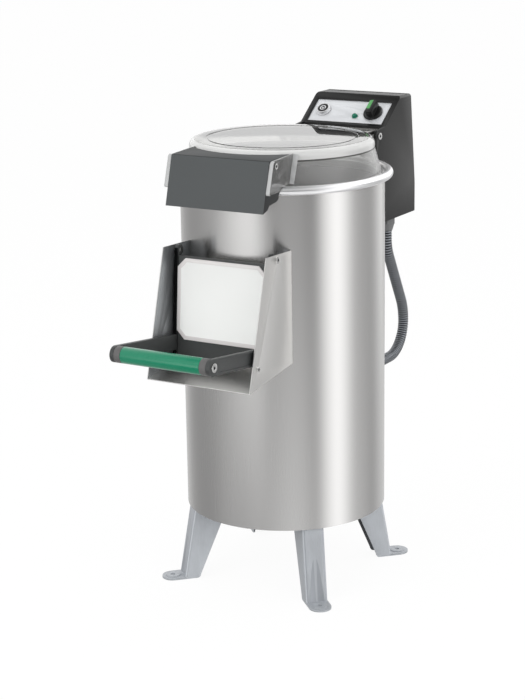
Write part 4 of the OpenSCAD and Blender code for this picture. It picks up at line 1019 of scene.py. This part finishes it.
def camera():
    az, el, roll = (math.radians(view[key]) for key in ("azimuth", "elevation", "roll"))
    back = Vector((math.cos(el) * math.sin(az), -math.cos(el) * math.cos(az), math.sin(el)))
    level = Vector((math.cos(az), math.sin(az), 0))
    above = back.cross(level)
    right = level * math.cos(roll) + above * math.sin(roll)
    up = above * math.cos(roll) - level * math.sin(roll)
    eye = level * view["aim"][0] + Vector((0, 0, view["aim"][1])) + back * view["distance"]
    lens = bpy.data.cameras.new("camera")
    lens.sensor_fit = "VERTICAL"
    lens.sensor_height = view["sensor"]
    lens.lens = view["focal"] / view["frameHeight"] * view["sensor"]
    holder = bpy.data.objects.new("camera", lens)
    holder.matrix_world = Matrix((
        (right.x, up.x, back.x, eye.x), (right.y, up.y, back.y, eye.y),
        (right.z, up.z, back.z, eye.z), (0, 0, 0, 1)))
    bpy.context.scene.collection.objects.link(holder)
    bpy.context.scene.camera = holder


# seen is how much of the floor's own shade gives way to plain white for the camera
paper = {"size": 40, "top": -0.0005, "colours": (grey(0.86), grey(0.9)), "glow": 1.02, "seen": 0.93}


def floor():
    clearSelection()
    bpy.ops.mesh.primitive_plane_add(size=paper["size"], location=(0, 0, paper["top"]))
    ground = named("floor")
    settle(ground)
    nodes = Nodes(bpy.data.materials.new("floorPaper"))
    matt = nodes.add("ShaderNodeBsdfDiffuse")
    nodes.link(nodes.blendColours(nodes.noise(3, 2.0), *paper["colours"]), matt.inputs["Color"])
    glow = nodes.add("ShaderNodeEmission")
    glow.inputs["Strength"].default_value = paper["glow"]
    rays = nodes.add("ShaderNodeLightPath")
    seen = nodes.math("MULTIPLY", rays.outputs["Is Camera Ray"], paper["seen"])
    nodes.show(nodes.mixShaders(seen, matt.outputs[0], glow.outputs[0]))
    ground.data.materials.append(nodes.owner)
    ground.visible_glossy = False


# how bright the studio looks to polished metal, by bearing from the front in degrees:
# (bearing, light high up, light above the horizon, light just below it, light further down)
studio = [(-180, 1.25, 1.32, 0.56, 0.66), (-150, 1.20, 1.28, 0.80, 0.78), (-129, 1.15, 1.20, 0.54, 0.72),
          (-104, 0.90, 1.00, 0.32, 0.40), (-82, 0.80, 0.80, 0.34, 0.34), (-62, 0.70, 0.70, 0.52, 0.32),
          (-44, 0.70, 0.80, 0.80, 0.36), (-20, 0.80, 1.85, 2.00, 0.02), (0, 0.80, 2.00, 2.00, 0.20),
          (14, 0.50, 0.26, 0.10, 0.78), (34, 0.50, 0.18, 0.02, 1.04), (52, 0.50, 0.16, 0.02, 0.98),
          (64, 0.60, 0.02, 0.00, 0.66), (74, 0.70, 0.90, 0.95, 0.78), (92, 1.10, 1.50, 2.00, 1.72),
          (106, 1.60, 1.00, 1.12, 0.96), (118, 1.90, 0.66, 0.36, 0.68), (136, 2.00, 0.60, 0.34, 0.64),
          (150, 2.00, 0.80, 0.46, 0.38), (166, 1.60, 1.40, 1.00, 0.62)]
# between which heights of a ray one row gives way to the next, and the last one to the light overhead
rowHeights = [(0.24, 0.14), (0.05, -0.06), (-0.185, -0.27), (0.78, 0.96)]
worldLight = {"strength": 2.0, "overhead": grey(0.12), "ambient": grey(0.68), "white": grey(1.0),
              "inPlastic": 0.9}


def lightRamp(nodes, share, row):
    # one row of the studio table, spread over a full turn; the stops hold half of its light, because
    # they can't pass 1, and the background's strength doubles them again
    ramp = nodes.add("ShaderNodeValToRGB")
    ramp.color_ramp.interpolation = "B_SPLINE"
    stops = ramp.color_ramp.elements
    while len(stops) > 1:
        stops.remove(stops[0])
    stops[0].position = 0
    for entry in studio[1:]:
        stops.new((entry[0] + 180) / 360)
    for stop, entry in zip(stops, studio):
        stop.color = (*grey(entry[row] / worldLight["strength"]), 1)
    nodes.link(share, ramp.inputs["Fac"])
    return ramp.outputs["Color"]


def world():
    sky = bpy.data.worlds.new("studio")
    bpy.context.scene.world = sky
    nodes = Nodes(sky, "ShaderNodeOutputWorld")
    x, y, z = nodes.parts(nodes.add("ShaderNodeTexCoord").outputs["Generated"])
    bearing = nodes.math("ARCTAN2", x, nodes.math("MULTIPLY", y, -1))
    share = nodes.ranged(bearing, 0, 1, -math.pi, math.pi)
    light, *others = [lightRamp(nodes, share, row) for row in (1, 2, 3, 4)]
    for (low, high), following in zip(rowHeights, others + [worldLight["overhead"]]):
        light = nodes.blendColours(nodes.ranged(z, 0, 1, low, high, "SMOOTHSTEP"), light, following)
    # polished metal sees the studio, what passes through plastic sees under half of its light, and
    # matt surfaces see an even light
    rays = nodes.add("ShaderNodeLightPath").outputs
    even = nodes.background(worldLight["ambient"])
    mirrored = nodes.background(light, worldLight["strength"])
    polished = nodes.mixShaders(rays["Is Glossy Ray"], even, mirrored)
    dim = nodes.background(light, worldLight["inPlastic"])
    covered = nodes.mixShaders(rays["Is Transmission Ray"], polished, dim)
    # the camera sees white, also through the plastic where nothing has bounced yet
    bounces = nodes.math("ADD", rays["Glossy Depth"], rays["Diffuse Depth"])
    through = nodes.math("MULTIPLY", rays["Is Transmission Ray"], nodes.math("LESS_THAN", bounces, 0.5))
    seen = nodes.math("MAXIMUM", rays["Is Camera Ray"], through)
    nodes.show(nodes.mixShaders(seen, covered, nodes.background(worldLight["white"])))


# name, place, width in metres and power in watts
lamps = [("keyPanel", (-1.0, -3.0, 2.2), 2.0, 34), ("fillPanel", (2.8, -1.2, 1.8), 1.8, 12),
         ("topPanel", (0.2, 0.6, 3.2), 2.2, 12)]
lampAim = (0, 0, 0.5)


def lights():
    for name, where, size, power in lamps:
        lamp = bpy.data.lights.new(name, "AREA")
        lamp.shape = "SQUARE"
        lamp.size = size
        lamp.energy = power
        holder = bpy.data.objects.new(name, lamp)
        holder.location = where
        holder.rotation_euler = (Vector(lampAim) - Vector(where)).to_track_quat("-Z", "Y").to_euler()
        holder.visible_glossy = False
        holder.visible_transmission = False
        bpy.context.scene.collection.objects.link(holder)


camera()
floor()
world()
lights()
bpy.context.scene.view_settings.view_transform = "Standard"
print("stage set")

bpy.context.view_layer.update()
